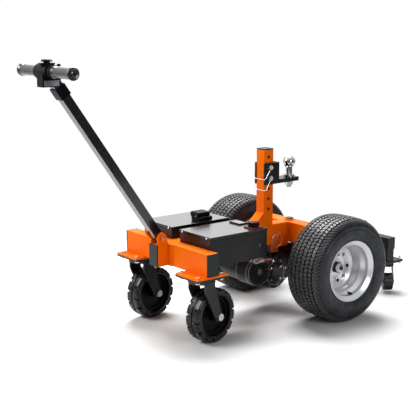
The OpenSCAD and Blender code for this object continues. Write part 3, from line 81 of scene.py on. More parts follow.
CHASSIS = "chassis"  # body that carries most pieces
WHITE = (1.0, 1.0, 1.0, 1.0)
GROOVE_SHADE = (0.0006, 0.0006, 0.0006)  # painted shade deep in a tyre's grooves
DETAIL, FINE_DETAIL = 3.0, 4.0  # detail of the slow noises and of the fine one
DRIFT_STOPS = (0.35, 0.7)  # noise values of the main and of the other colour
ROUGH_STOPS = (0.3, 0.7)  # noise values of the lowest and of the highest roughness
BUMP_STRENGTH = 0.6
Colour = tuple[float, float, float]
Point = tuple[float, float, float]
Pair = tuple[float, float]


class Side(Enum):
    """The two sides of the machine, with the sign of X on each."""

    LEFT = -1
    RIGHT = 1

    @property
    def word(self) -> str:
        """The side's name in lower case."""
        return self.name.lower()


def feed(tree: bpy.types.NodeTree, node: bpy.types.Node, inputs: Mapping[str | int, Any]) -> None:
    """Sets inputs of a shader node, or links them.

    Args:
        tree: Node tree that holds the node.
        node: The node.
        inputs: Value of each input, or the socket that feeds it.
    """
    for name, value in inputs.items():
        if isinstance(value, bpy.types.NodeSocket):
            tree.links.new(value, node.inputs[name])
        else:
            node.inputs[name].default_value = value


def add_node(tree: bpy.types.NodeTree, kind: str, inputs: Optional[Mapping[str | int, Any]] = None,
             **settings: Any) -> bpy.types.Node:
    """Adds one shader node.

    Args:
        tree: Node tree that gets it.
        kind: Its type, without the words ShaderNode.
        inputs: Value of each input, or the socket that feeds it.
        **settings: Values of its own properties, set before the inputs.

    Returns:
        The new node.
    """
    node = tree.nodes.new("ShaderNode" + kind)
    for name, value in settings.items():
        setattr(node, name, value)
    feed(tree, node, inputs or {})
    return node


@dataclass(frozen=True)
class Finish:
    """One surface finish, made from noise patterns on object coordinates.

    Attributes:
        name: Name of the material.
        slot: The record's material slot that it belongs to; not used.
        colour: Main colour.
        other: Colour that the main one drifts to in patches.
        drift_scale: Patches per metre of the colour drift.
        metallic: How metallic the shader is.
        rough: Lowest and highest roughness.
        rough_scale: Patches per metre of the roughness pattern.
        relief: Depth of the fine relief in metres.
        relief_scale: Bumps per metre of the fine relief.
        coat: Strength of the clear coat.
        coat_rough: Roughness of the clear coat.
        specular: Specular level of the shader.
        ior: Index of refraction of the shader.
        dust: How strongly the fine noise lightens the colour.
        hollow: Name of the mesh attribute that is 1 deep in the piece's grooves, which get painted
            shade, and -1 on its tops, which get a painted highlight, or nothing.
        worn: Colour of the painted highlight on the tops.
    """

    name: str
    slot: str
    colour: Colour
    other: Colour
    drift_scale: float = 6.0
    metallic: float = 0.0
    rough: Pair = (0.3, 0.45)
    rough_scale: float = 40.0
    relief: float = 0.00005
    relief_scale: float = 700.0
    coat: float = 0.0
    coat_rough: float = 0.08
    specular: float = 0.5
    ior: float = 1.5
    dust: float = 0.0
    hollow: str = ""
    worn: Colour = (0.0, 0.0, 0.0)

    def grooved(self, tree: bpy.types.NodeTree, colour: bpy.types.NodeSocket) -> bpy.types.NodeSocket:
        """Blends a colour to a painted highlight on the tops, and to painted shade in the grooves.

        Args:
            tree: Node tree of the material.
            colour: The plain colour.

        Returns:
            The blended colour.
        """
        depth = add_node(tree, "Attribute", attribute_name=self.hollow).outputs["Fac"]
        # painted highlight on the tops, then painted near-black shade in the grooves
        for far, tint in ((-1.0, self.worn), (1.0, GROOVE_SHADE)):
            share = add_node(tree, "MapRange", {"Value": depth, "From Max": far}).outputs["Result"]
            blend = {"Factor": share, "A": colour, "B": (*tint, 1.0)}
            colour = add_node(tree, "Mix", blend, data_type="RGBA").outputs["Result"]
        return colour

    def material(self) -> bpy.types.Material:
        """Builds the node material, or returns the one already made.

        The colour drifts between two tones with a slow noise, the roughness follows a second noise, and a
        fine noise gives the relief.

        Returns:
            The material of this finish.
        """
        found = bpy.data.materials.get(self.name)
        if found is not None:
            return found
        made = bpy.data.materials.new(self.name)
        made.use_nodes = True
        tree = made.node_tree
        place = add_node(tree, "TexCoord").outputs["Object"]

        def noise(scale: float, detail: float) -> bpy.types.NodeSocket:
            """One noise pattern with a number of patches per metre."""
            inputs = {"Scale": scale, "Detail": detail, "Vector": place}
            return add_node(tree, "TexNoise", inputs).outputs["Fac"]

        ramp = add_node(tree, "ValToRGB", {"Fac": noise(self.drift_scale, DETAIL)})
        for stop, at, tone in zip(ramp.color_ramp.elements, DRIFT_STOPS, (self.colour, self.other)):
            stop.position = at
            stop.color = (*tone, 1.0)
        colour = ramp.outputs["Color"]
        fine = noise(self.relief_scale, FINE_DETAIL)
        if self.dust:
            blend = {"Factor": fine, "A": colour, "B": (self.dust, self.dust, self.dust, 1.0)}
            colour = add_node(tree, "Mix", blend, data_type="RGBA", blend_type="ADD").outputs["Result"]
        if self.hollow:
            colour = self.grooved(tree, colour)
        spread = add_node(tree, "MapRange", {
            "Value": noise(self.rough_scale, DETAIL), "From Min": ROUGH_STOPS[0], "From Max": ROUGH_STOPS[1],
            "To Min": self.rough[0], "To Max": self.rough[1]})
        bump = add_node(tree, "Bump", {"Strength": BUMP_STRENGTH, "Distance": self.relief, "Height": fine})
        feed(tree, tree.nodes["Principled BSDF"], {
            "Base Color": colour, "Roughness": spread.outputs["Result"], "Normal": bump.outputs["Normal"],
            "Metallic": self.metallic, "Coat Weight": self.coat, "Coat Roughness": self.coat_rough,
            "Specular IOR Level": self.specular, "IOR": self.ior})
        return made


ORANGE = Finish("orange_powder_coat", "orange_paint", (0.93, 0.15, 0.001), (0.95, 0.175, 0.002),
                rough=(0.3, 0.42), relief=0.0001, specular=0.07)
BLACK_GLOSS = Finish("black_gloss_coat", "black_paint", (0.002, 0.002, 0.0025), (0.003, 0.003, 0.0035),
                     rough=(0.16, 0.24), specular=0.4)
TUBE_GLOSS = Finish("black_tube_gloss", "black_paint", (0.001, 0.001, 0.0012), (0.002, 0.002, 0.0024),
                    rough=(0.14, 0.2), relief=0.00001, coat=0.8, coat_rough=0.06, ior=1.6)
BLACK_LID = Finish("black_lid_coat", "black_paint", (0.006, 0.006, 0.007), (0.009, 0.009, 0.01),
                   rough=(0.2, 0.24), relief=0.000004, coat=1.0, coat_rough=0.2, ior=2.0, specular=1.0)
BLACK_SATIN = Finish("black_satin_coat", "black_paint", (0.003, 0.003, 0.0035), (0.006, 0.006, 0.0065),
                     rough=(0.32, 0.45), specular=0.3)
FORK_SATIN = Finish("fork_satin_coat", "black_paint", (0.012, 0.012, 0.013), (0.018, 0.018, 0.0195),
                    rough=(0.32, 0.42), specular=0.4)
BLACK_SHEET = Finish("black_sheet_coat", "black_paint", (0.006, 0.006, 0.0065), (0.009, 0.009, 0.01),
                     rough=(0.26, 0.36), specular=0.3)
BLACK_PLASTIC = Finish("black_moulded_plastic", "black_plastic", (0.002, 0.002, 0.0025),
                       (0.004, 0.004, 0.0045), rough=(0.26, 0.38), relief=0.00015, relief_scale=900.0,
                       specular=0.1)
CAP_PLASTIC = Finish("black_cap_plastic", "black_plastic", (0.018, 0.022, 0.024), (0.024, 0.028, 0.03),
                     rough=(0.35, 0.45), relief=0.0001, specular=0.25)
RED_PLASTIC = Finish("red_moulded_plastic", "red_plastic", (0.1, 0.004, 0.004), (0.13, 0.005, 0.005),
                     rough=(0.35, 0.45), specular=0.25)
RIM_SILVER = Finish("silver_rim_coat", "silver_paint", (0.72, 0.725, 0.745), (0.76, 0.765, 0.785),
                    metallic=0.7, rough=(0.27, 0.31), rough_scale=12.0, relief=0.000004, coat=0.2)
ZINC = Finish("bright_zinc", "zinc", (0.6, 0.61, 0.62), (0.74, 0.74, 0.74), metallic=1.0,
              rough=(0.16, 0.3), drift_scale=60.0)
DULL_ZINC = Finish("dull_zinc", "zinc", (0.7, 0.7, 0.71), (0.84, 0.84, 0.84), metallic=1.0,
                   rough=(0.28, 0.42), drift_scale=60.0)
MACHINED = Finish("machined_edge", "grey_iron", (0.24, 0.24, 0.25), (0.34, 0.34, 0.35), metallic=1.0,
                  rough=(0.3, 0.42), drift_scale=30.0)
CHROME = Finish("polished_chrome", "chrome", (0.5, 0.5, 0.52), (0.56, 0.56, 0.58), metallic=1.0,
                rough=(0.05, 0.1), relief=0.00001)
COPPER = Finish("copper_stud_grained", "copper_stud", (0.6, 0.24, 0.1), (0.7, 0.32, 0.15), metallic=1.0,
                rough=(0.25, 0.4))
BRASS = Finish("brass_plug", "copper_stud", (0.5, 0.33, 0.1), (0.6, 0.4, 0.14), metallic=1.0,
               rough=(0.25, 0.4))
CASTING = Finish("dark_casting", "grey_iron", (0.004, 0.004, 0.0045), (0.009, 0.009, 0.0095),
                 rough=(0.28, 0.45), relief=0.0004, relief_scale=350.0, specular=0.35)
# tyre rubber: the groove attribute gives painted shade in the grooves and a painted highlight on the tread
# tops
TYRE = Finish("tyre_rubber_grained", "tyre_rubber", (0.010, 0.0115, 0.0145), (0.030, 0.033, 0.040),
              drift_scale=26.0, rough=(0.3, 0.42), relief=0.00025, relief_scale=500.0, specular=0.3,
              dust=0.004, hollow="groove", worn=(0.085, 0.085, 0.084))
TREAD = Finish("solid_tread_rubber", "pale_rubber", (0.003, 0.003, 0.0035), (0.006, 0.006, 0.007),
               rough=(0.2, 0.3), relief=0.0002, specular=0.45)
GRIP = Finish("grip_rubber_grained", "grip_rubber", (0.003, 0.003, 0.0035), (0.006, 0.006, 0.0065),
              rough=(0.2, 0.28), relief=0.00001, coat=0.5, coat_rough=0.14, ior=1.6)
PLATE_GREY = Finish("bare_plate", "black_plastic", (0.16, 0.17, 0.2), (0.3, 0.31, 0.34),
                    rough=(0.3, 0.4), drift_scale=40.0)
CASE_GREY = Finish("battery_case_grained", "battery_case", (0.1, 0.1, 0.11), (0.14, 0.14, 0.15),
                   rough=(0.4, 0.5))
WIRE_GREY = Finish("grey_lead", "black_plastic", (0.22, 0.22, 0.23), (0.3, 0.3, 0.31),
                   rough=(0.35, 0.45), drift_scale=40.0)
WIRE_RED = Finish("red_lead", "red_plastic", (0.16, 0.006, 0.005), (0.2, 0.008, 0.006),
                  rough=(0.35, 0.45), drift_scale=40.0)


@dataclass(frozen=True)
class Placement:
    """A place and three directions that a shape is drawn in.

    Attributes:
        origin: Where the shape's own origin lies.
        x: Direction of the shape's first axis.
        y: Direction of the shape's second axis.
        z: Direction of the shape's third axis.
    """

    origin: Point = (0.0, 0.0, 0.0)
    x: Point = (1.0, 0.0, 0.0)
    y: Point = (0.0, 1.0, 0.0)
    z: Point = (0.0, 0.0, 1.0)

    def place(self, points: np.ndarray) -> np.ndarray:
        """Points of the shape in the row frame: origin plus each coordinate times its direction."""
        basis = np.array([self.x, self.y, self.z], float)
        return np.asarray(points, float).reshape(-1, 3) @ basis + np.array(self.origin, float)


def metres(values: Sequence[float]) -> tuple[float, ...]:
    """Lengths in metres from lengths in millimetres."""
    return tuple(v * MM for v in values)


def on_axle(x: float, y: float, z: float, side: int = 1, yaw: float = 0.0) -> Placement:
    """A placement whose third axis points out along a wheel axle and whose first axis points up.

    Args:
        x: Place along X.
        y: Place along Y.
        z: Height.
        side: 1 or -1, the way the axle points along X.
        yaw: Turn of the axle about Z, in radians.

    Returns:
        The placement.
    """
    out = (side * math.cos(yaw), side * math.sin(yaw), 0.0)
    return Placement((x, y, z), (0.0, 0.0, 1.0), (-out[1], out[0], 0.0), out)


def circle(count: int) -> np.ndarray:
    """Angles of a number of even steps round a circle."""
    return np.arange(count) * TURN / count


def polar(radius: np.ndarray, angle: np.ndarray, height: np.ndarray | float) -> np.ndarray:
    """Points (r cos t, r sin t, h), with the three values stretched to a common shape."""
    r, t, h = np.broadcast_arrays(radius, angle, height)
    return np.stack([r * np.cos(t), r * np.sin(t), h], axis=-1)


def rise(value: np.ndarray, start: float, end: float) -> np.ndarray:
    """Share that goes from 0 where a length is the start to 1 where it is the end, both in millimetres."""
    return np.clip((value / MM - start) / (end - start), 0.0, 1.0)


def grid_faces(rows: int, columns: int, close_rows: bool, close_columns: bool) -> np.ndarray:
    """Numbers the quads of a grid of points.

    Args:
        rows: Points along the first direction.
        columns: Points along the second direction.
        close_rows: Whether the last row joins the first.
        close_columns: Whether the last column joins the first.

    Returns:
        One row of four vertex numbers for each quad.
    """
    i = np.arange(rows if close_rows else rows - 1)
    j = np.arange(columns if close_columns else columns - 1)
    a, b = (g.ravel() for g in np.meshgrid(i, j, indexing="ij"))
    c, d = (a + 1) % rows, (b + 1) % columns
    return np.stack([a * columns + b, c * columns + b, c * columns + d, a * columns + d], axis=1)


def finish_mesh(name: str, work: bmesh.types.BMesh, finish: Finish, body: str,
                sharp: float) -> bpy.types.Object:
    """Marks sharp edges, and makes an object that rides on a body.

    Args:
        name: Name of the piece.
        work: The mesh being worked on, which is freed.
        finish: Finish of the whole piece.
        body: Body that carries the piece.
        sharp: Angle in degrees above which an edge stays sharp.

    Returns:
        The new object.
    """
    limit = math.radians(sharp)
    for edge in work.edges:
        edge.smooth = not (len(edge.link_faces) == 2 and edge.calc_face_angle(0.0) > limit)
    for face in work.faces:
        face.smooth = True
    mesh = bpy.data.meshes.new(name)
    work.to_mesh(mesh)
    work.free()
    mesh.materials.append(finish.material())
    made = bpy.data.objects.new(name, mesh)
    bpy.context.scene.collection.objects.link(made)
    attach(made, body)
    log.info("%s: %d faces on %s", name, len(mesh.polygons), body)
    return made


def mesh_object(name: str, points: np.ndarray, faces: Sequence[Sequence[int]] | np.ndarray, finish: Finish,
                body: str, sharp: float = 35.0, hollow: Optional[np.ndarray] = None) -> bpy.types.Object:
    """Makes one mesh piece from points and faces, with doubles merged and faces turned outwards.

    Args:
        name: Name of the piece.
        points: Vertex places in the row frame, one row each.
        faces: Vertex numbers of each face.
        finish: Finish of the whole piece.
        body: Body that carries the piece.
        sharp: Angle in degrees above which an edge stays sharp.
        hollow: How deep each vertex lies in a groove, from -1 on the tops, which get a painted
        highlight, to 1, which gets painted shade, kept as the finish's attribute.

    Returns:
        The new object.
    """
    mesh = bpy.data.meshes.new(name + "_raw")
    numbers = faces.tolist() if isinstance(faces, np.ndarray) else [list(f) for f in faces]
    mesh.from_pydata(np.asarray(points, float).reshape(-1, 3).tolist(), [], numbers)
    if hollow is not None:
        kept = mesh.attributes.new(finish.hollow, "FLOAT", "POINT")
        kept.data.foreach_set("value", hollow.ravel().astype(float))
    work = bmesh.new()
    work.from_mesh(mesh)
    bpy.data.meshes.remove(mesh)
    bmesh.ops.remove_doubles(work, verts=work.verts, dist=1e-6)
    bmesh.ops.dissolve_degenerate(work, dist=1e-6, edges=work.edges)
    bmesh.ops.recalc_face_normals(work, faces=work.faces)
    return finish_mesh(name, work, finish, body, sharp)


def revolve(name: str, profile: Sequence[Pair], frame: Placement, finish: Finish, body: str = CHASSIS,
            steps: int = 96, closed: bool = False, sharp: float = 30.0) -> bpy.types.Object:
    """A profile turned about the third axis: (r cos t, r sin t, h) for each (r, h) in millimetres.

    Args:
        name: Name of the piece.
        profile: Radius and height of each point.
        frame: Where the shape lies.
        finish: Finish of the piece.
        body: Body that carries it.
        steps: Points around.
        closed: Whether the profile's last point joins its first.
        sharp: Angle above which an edge stays sharp.

    Returns:
        The new object.
    """
    line = np.array(profile, float) * MM
    points = frame.place(polar(line[None, :, 0], circle(steps)[:, None], line[None, :, 1]))
    return mesh_object(name, points, grid_faces(steps, len(line), True, closed), finish, body, sharp)


def smooth_line(points: Sequence[Point]) -> np.ndarray:
    """A smooth line through points in millimetres, each span a cubic with the slope of its neighbours.

    Args:
        points: The points that the line passes through.

    Returns:
        Points of the line in metres.
    """
    steps = 8
    p = np.array(points, float) * MM
    p = np.concatenate([[2 * p[0] - p[1]], p, [2 * p[-1] - p[-2]]])
    t = (np.arange(steps) / steps)[None, :, None]
    a, b, c, d = (p[k:len(p) - 3 + k, None, :] for k in range(4))
    line = b + 0.5 * t * (c - a + t * (2 * a - 5 * b + 4 * c - d + t * (3 * (b - c) + d - a)))
    return np.concatenate([line.reshape(-1, 3), p[-2:-1]])


def even_line(points: Sequence[Point]) -> np.ndarray:
    """Straight stretches between points in millimetres, cut into even steps of about one millimetre.

    Args:
        points: The corners of the line.

    Returns:
        Points of the line in metres.
    """
    p = np.array(points, float)
    run = np.concatenate([[0.0], np.cumsum(np.linalg.norm(np.diff(p, axis=0), axis=1))])
    at = np.linspace(0.0, run[-1], max(2, int(run[-1])))
    return np.stack([np.interp(at, run, p[:, k]) for k in range(3)], axis=1) * MM


def tube(line: np.ndarray, across: np.ndarray, other: np.ndarray, radius: np.ndarray,
         sides: int) -> tuple[np.ndarray, list[list[int]]]:
    """A round section carried along a line, with its ends closed.

    Each point is the centre plus the radius times (cos t of one side vector plus sin t of the other).

    Args:
        line: Centre line in the row frame.
        across: First side vector at each centre.
        other: Second side vector at each centre.
        radius: Radius at each centre.
        sides: Points around the section.

    Returns:
        The points, one row each, and the faces.
    """
    angle = circle(sides)[None, :, None]
    ring = np.cos(angle) * across[:, None, :] + np.sin(angle) * other[:, None, :]
    ring = line[:, None, :] + radius[:, None, None] * ring
    last = (len(line) - 1) * sides
    faces = grid_faces(len(line), sides, False, True).tolist()
    return ring.reshape(-1, 3), faces + [list(range(sides))[::-1], list(range(last, last + sides))]


def sweep(name: str, line: np.ndarray, radius: float, finish: Finish, sides: int) -> bpy.types.Object:
    """A round cord on the chassis along a line, closed at its ends.

    The side vector at each point is the last one with its part along the line taken off, so it doesn't
    twist.

    Args:
        name: Name of the piece.
        line: Points of the centre line in the row frame.
        radius: Radius of the section.
        finish: Finish of the piece.
        sides: Points around the section.

    Returns:
        The new object.
    """
    tangent = np.gradient(line, axis=0)
    tangent /= np.maximum(np.linalg.norm(tangent, axis=1)[:, None], TINY)
    last = np.eye(3)[int(np.argmin(np.abs(tangent[0])))]
    across = np.zeros(line.shape)
    for i, way in enumerate(tangent):
        last = last - way * (last @ way)
        last /= np.linalg.norm(last)
        across[i] = last
    points, faces = tube(line, across, np.cross(tangent, across), np.full(len(line), radius), sides)
    return mesh_object(name, points, faces, finish, CHASSIS, 50.0)


def weld(name: str, runs: Sequence[Sequence[Point]], finish: Finish = ORANGE,
         size: float = 2.4) -> bpy.types.Object:
    """Weld beads along runs of corners: a round section whose radius swells with each ripple of the bead.

    Args:
        name: Name of the piece.
        runs: Corners of each bead in millimetres.
        finish: Finish over the weld.
        size: Radius of the bead in millimetres.

    Returns:
        One object on the chassis with every bead.
    """
    sides, swell, ripple_length, taper_steps, least = 8, 0.15, 3.6, 3.0, 0.02
    points, faces, base = [], [], 0
    for run in runs:
        line = even_line(run)
        count = np.arange(len(line))
        way = np.gradient(line, axis=0)
        way /= np.linalg.norm(way, axis=1)[:, None]
        first = np.cross(way, np.eye(3)[int(np.argmin(np.abs(way[0])))])
        first /= np.linalg.norm(first, axis=1)[:, None]
        ripple = size * MM * (1.0 - swell + swell * np.cos(count * TURN / ripple_length))
        ripple = ripple * np.sqrt(np.clip(np.minimum(count, count[::-1]) / taper_steps, least, 1.0))
        bead, quads = tube(line, first, np.cross(way, first), ripple, sides)
        points.append(bead)
        faces += [[base + k for k in face] for face in quads]
        base += len(bead)
    return mesh_object(name, np.concatenate(points), faces, finish, CHASSIS, 80.0)


def both_sides(runs: Sequence[Sequence[Point]]) -> list[list[Point]]:
    """Each run of points, followed by its mirror image in X."""
    return [[(sign * x, y, z) for x, y, z in run] for run in runs for sign in (1, -1)]


def rounded_box(name: str, low: Point, high: Point, radius: float, finish: Finish, body: str = CHASSIS,
                steps: int = 4) -> bpy.types.Object:
    """A block with round edges: each point is the nearest point of an inner block plus the radius outwards.

    Args:
        name: Name of the piece.
        low: Lowest corner in millimetres.
        high: Highest corner in millimetres.
        radius: Edge radius in millimetres.
        finish: Finish of the piece.
        body: Body that carries it.
        steps: Grid steps across each round edge.

    Returns:
        The new object.
    """
    low_, high_ = np.array(low, float) * MM, np.array(high, float) * MM
    half, middle = (high_ - low_) / 2, (high_ + low_) / 2
    radius = min(radius * MM, float(half.min()) * 0.98)
    edge = radius * np.tan(np.linspace(-math.pi / 4, 0.0, steps + 1))
    points, faces, base = [], [], 0
    for axis in range(3):
        first, second = (k for k in range(3) if k != axis)
        lines = [np.concatenate([edge - half[k] + radius, half[k] - radius - edge[::-1]])
                 for k in (first, second)]
        a, b = np.meshgrid(lines[0], lines[1], indexing="ij")
        for sign in (-1.0, 1.0):
            cube = np.zeros(a.shape + (3,))
            cube[..., first], cube[..., second], cube[..., axis] = a, b, sign * half[axis]
            core = np.clip(cube, radius - half, half - radius)
            away = cube - core
            away /= np.maximum(np.linalg.norm(away, axis=2, keepdims=True), TINY)
            points.append((core + away * radius).reshape(-1, 3) + middle)
            faces.append(grid_faces(len(lines[0]), len(lines[1]), False, False) + base)
            base += a.size
    return mesh_object(name, np.concatenate(points), np.concatenate(faces), finish, body, 60.0)


def hex_heads(name: str, places: Sequence[Placement], flats: float, height: float, finish: Finish,
              body: str = CHASSIS, washer: float = 0.0) -> bpy.types.Object:
    """Hexagon heads or nuts with turned corners, each on a washer, as one piece.

    The radius of the head at an angle is half the flats over the cosine of the angle from the middle of
    its flat, and the top edge is cut by a cone.

    Args:
        name: Name of the piece.
        places: Where each head stands, its third axis outwards.
        flats: Size across the flats in millimetres.
        height: Height of the head in millimetres.
        finish: Finish of the heads.
        body: Body that carries them.
        washer: Thickness of the washer in millimetres, or 0.

    Returns:
        The new object.
    """
    steps, pinhole, washer_share, cone_share, cone_slope = 48, 0.01, 0.62, 1.03, 0.6
    angle = circle(steps)
    inside = (angle + TURN / 12) % (TURN / 6) - TURN / 12
    hexagon = flats / 2 / np.cos(inside)
    cone = np.minimum(hexagon, flats / 2 * cone_share)
    top = washer + height
    rows = [(pinhole, 0.0)]
    if washer:
        rows += [(flats * washer_share, 0.0), (flats * washer_share, washer)]
    rows += [(hexagon, washer), (hexagon, top - (hexagon - cone) * cone_slope - height * 0.06),
             (cone, top - height * 0.02), (cone * 0.96, top), (pinhole, top)]
    r, h = (np.stack([np.broadcast_to(row[k], steps) for row in rows], axis=1) * MM for k in (0, 1))
    shape = polar(r, angle[:, None], h)
    quads = grid_faces(steps, len(rows), True, False)
    points = np.concatenate([p.place(shape) for p in places])
    faces = np.concatenate([quads + k * r.size for k in range(len(places))])
    made = mesh_object(name, points, faces, finish, body, sharp=25.0)
    work = bmesh.new()
    work.from_mesh(made.data)
    bmesh.ops.holes_fill(work, edges=[e for e in work.edges if e.is_boundary], sides=0)
    work.to_mesh(made.data)
    work.free()
    return made


@dataclass
class Assembly:
    """A sub-assembly of the machine: holds the CAD nodes and dresses them.

    Attributes:
        nodes: The frame's CAD nodes by name.
    """

    nodes: dict[str, bpy.types.Object]

    def paint(self, finish: Finish, *names: str) -> None:
        """Gives CAD nodes one finish.

        Args:
            finish: The finish.
            *names: The CAD nodes.
        """
        for name in names:
            slots = self.nodes[name].data.materials
            if not slots:
                slots.append(finish.material())
            for i in range(len(slots)):
                slots[i] = finish.material()

    def replace(self, finish: Finish, name: str, *pieces: bpy.types.Object) -> None:
        """Paints a CAD node and puts finer pieces in its place.

        Args:
            finish: Finish of the node.
            name: The CAD node.
            *pieces: The pieces that stand for it.
        """
        self.paint(finish, name)
        for piece in pieces:
            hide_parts(name)

    def soften(self, name: str, finish: Finish, width: float, segments: int = 2,
               sides: Optional[Finish] = None) -> None:
        """Replaces a CAD node by a merged copy with slightly rounded edges.

        Args:
            name: The CAD node.
            finish: Finish of the piece.
            width: Width of the rounded edges in millimetres.
            segments: Steps across each rounded edge.
            sides: Finish of the faces that don't face up, and of the rounded edges, where it differs.
        """
        flat_angle, least_angle, up = 0.5, 35.0, 0.7
        node = self.nodes[name]
        work = bmesh.new()
        work.from_mesh(node.data)
        bmesh.ops.remove_doubles(work, verts=work.verts, dist=1e-5)
        bmesh.ops.dissolve_limit(work, angle_limit=math.radians(flat_angle), verts=work.verts,
                                 edges=work.edges)
        made = finish_mesh(name + "_dressed", work, finish, node["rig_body"], 30.0)
        bevel = made.modifiers.new("round_edges", "BEVEL")
        bevel.width = width * MM
        bevel.segments = segments
        bevel.limit_method = "ANGLE"
        bevel.angle_limit = math.radians(least_angle)
        bevel.use_clamp_overlap = True
        bevel.harden_normals = True
        if sides is not None:
            made.data.materials.append(sides.material())
            for face in made.data.polygons:
                face.material_index = int(face.normal.z < up)
            bevel.material = 1
        self.replace(finish, name, made)


@dataclass
class SidedAssembly(Assembly):
    """A sub-assembly that is there once on each side of the machine.

    Attributes:
        side: Which side of the machine.
    """

    side: Side

    def named(self, what: str) -> str:
        """A name with the side's word behind it."""
        return f"{what}_{self.side.word}"


@dataclass
class Studio:
    """Floor, lamps, surround and the camera at the photograph's angle.

    Attributes:
        azimuth: Camera azimuth in degrees.
        elevation: Camera elevation in degrees.
        roll: Camera roll in degrees.
        place: Camera place in metres.
        focal: Focal length in image widths.
        bright_side: Way to the bright side of the surround.
        grading: Least and greatest closeness to that way between which the surround brightens.
        dim: Strength of the surround's dim side to gloss.
        matt_light: Strength of the surround to matt surfaces.
        middle: Point of the floor under the middle of the machine.
        reach: Radius of the floor.
        fade: Distances at which the floor starts and ends turning plain white.
        floor_tone: Darkest and palest tone of the floor to the camera.
        bounce: How pale the floor is to the light that it throws up.
        lamps: Name, place, point faced, size in metres and power in watts of each lamp.
    """

    azimuth: float = 51.97
    elevation: float = 11.48
    roll: float = -0.19
    place: Point = (2.7522, -2.566, 1.1552)
    focal: float = 945.25 / 416.0
    bright_side: Point = (-0.55, 0.15, 0.82)
    grading: Pair = (-0.3, 0.6)
    dim: float = 0.12
    matt_light: float = 0.15
    middle: Point = (0.0, -0.25, 0.0)
    reach: float = 3.2
    fade: Pair = (0.85, 1.5)
    floor_tone: Pair = (0.82, 0.84)
    bounce: float = 0.6
    lamps: tuple[tuple[str, Point, Point, float, float], ...] = (
        ("top_light", (-1.2, 0.6, 3.1), (0.0, -0.2, 0.3), 2.4, 225.0),
        ("front_light", (-1.3, -3.4, 2.8), (0.0, -0.4, 0.35), 1.8, 108.0),
        ("right_light", (4.4, -0.6, 2.0), (0.0, -0.2, 0.3), 1.6, 55.0))

    def camera(self) -> None:
        """Makes the camera, looking down its line of sight."""
        data = bpy.data.cameras.new("photo_camera")
        data.lens = data.sensor_width * self.focal
        made = bpy.data.objects.new("photo_camera", data)
        bpy.context.scene.collection.objects.link(made)
        a, e = math.radians(self.azimuth), math.radians(self.elevation)
        back = Vector((math.sin(a) * math.cos(e), -math.cos(a) * math.cos(e), math.sin(e)))
        right = Vector((math.cos(a), math.sin(a), 0.0))
        turn = Matrix((right, back.cross(right), back)).transposed()
        turn = turn @ Matrix.Rotation(math.radians(self.roll), 3, "Z")
        made.matrix_world = Matrix.Translation(self.place) @ turn.to_4x4()
        bpy.context.scene.camera = made

    def surround(self) -> None:
        """A plain surround, white to the camera and dimmer to matt surfaces.

        Gloss and glass see it white on the upper left, where the big lamps of a studio hang, and grey on the
        lower right: its strength follows the dot product of the direction with the way to the bright side.
        """
        world = bpy.data.worlds.new("studio")
        world.use_nodes = True
        tree = world.node_tree
        ray = add_node(tree, "LightPath").outputs
        way = add_node(tree, "TexCoord").outputs["Generated"]
        toward = add_node(tree, "VectorMath", {0: way, 1: self.bright_side}, operation="DOT_PRODUCT")
        graded = add_node(tree, "MapRange", {
            "Value": toward.outputs["Value"], "From Min": self.grading[0], "From Max": self.grading[1],
            "To Min": self.dim, "To Max": 1.0})
        gloss = add_node(tree, "Math", {0: ray["Is Glossy Ray"], 1: ray["Is Transmission Ray"]},
                         operation="MAXIMUM")
        level = add_node(tree, "Mix", {"Factor": gloss.outputs["Value"], "A": self.matt_light,
                                       "B": graded.outputs["Result"]})
        seen = add_node(tree, "Mix", {"Factor": ray["Is Camera Ray"], "A": level.outputs["Result"], "B": 1.0})
        feed(tree, tree.nodes["Background"], {"Color": WHITE, "Strength": seen.outputs["Result"]})
        bpy.context.scene.world = world

    def floor_material(self) -> bpy.types.Material:
        """Builds the floor's white.

        To the camera it turns from matt white to plain white with the distance from the middle of the
        machine, so the floor's edge meets the surround unseen. Other rays see a darker matt floor, so that
        it throws less light up than it gets.

        Returns:
            The material.
        """
        material = bpy.data.materials.new("studio_floor_white")
        material.use_nodes = True
        tree = material.node_tree
        tree.nodes.remove(tree.nodes["Principled BSDF"])
        place = add_node(tree, "TexCoord").outputs["Object"]
        camera = add_node(tree, "LightPath").outputs["Is Camera Ray"]
        speck = add_node(tree, "TexNoise", {"Scale": 3.0, "Vector": place})
        tone = add_node(tree, "MapRange", {"Value": speck.outputs["Fac"], "To Min": self.floor_tone[0],
                                           "To Max": self.floor_tone[1]})
        dimmed = add_node(tree, "Mix", {"Factor": camera, "A": self.bounce, "B": tone.outputs["Result"]})
        matt = add_node(tree, "BsdfDiffuse", {"Color": dimmed.outputs["Result"]})
        away = add_node(tree, "VectorMath", {0: place, 1: self.middle}, operation="DISTANCE")
        fade = add_node(tree, "MapRange", {"Value": away.outputs["Value"], "From Min": self.fade[0],
                                           "From Max": self.fade[1]}, interpolation_type="SMOOTHSTEP")
        share = add_node(tree, "Math", {0: camera, 1: fade.outputs["Result"]}, operation="MULTIPLY")
        glow = add_node(tree, "Emission", {"Strength": 1.0})
        mix = add_node(tree, "MixShader", {"Fac": share.outputs["Value"], 1: matt.outputs["BSDF"],
                                           2: glow.outputs["Emission"]})
        feed(tree, tree.nodes["Material Output"], {"Surface": mix.outputs["Shader"]})
        return material

    def floor(self) -> None:
        """A round white floor that keeps the shadow of the machine: points (r cos t, r sin t, 0)."""
        steps = 64
        ring = np.concatenate([[0.01], np.linspace(0.4, self.reach, 14)])
        points = polar(ring[:, None], circle(steps)[None, :], 0.0) + np.array(self.middle)
        faces = grid_faces(len(ring), steps, False, True).tolist() + [list(range(steps))[::-1]]
        mesh = bpy.data.meshes.new("studio_floor")
        mesh.from_pydata(points.reshape(-1, 3).tolist(), [], faces)
        mesh.materials.append(self.floor_material())
        made = bpy.data.objects.new("studio_floor", mesh)
        bpy.context.scene.collection.objects.link(made)

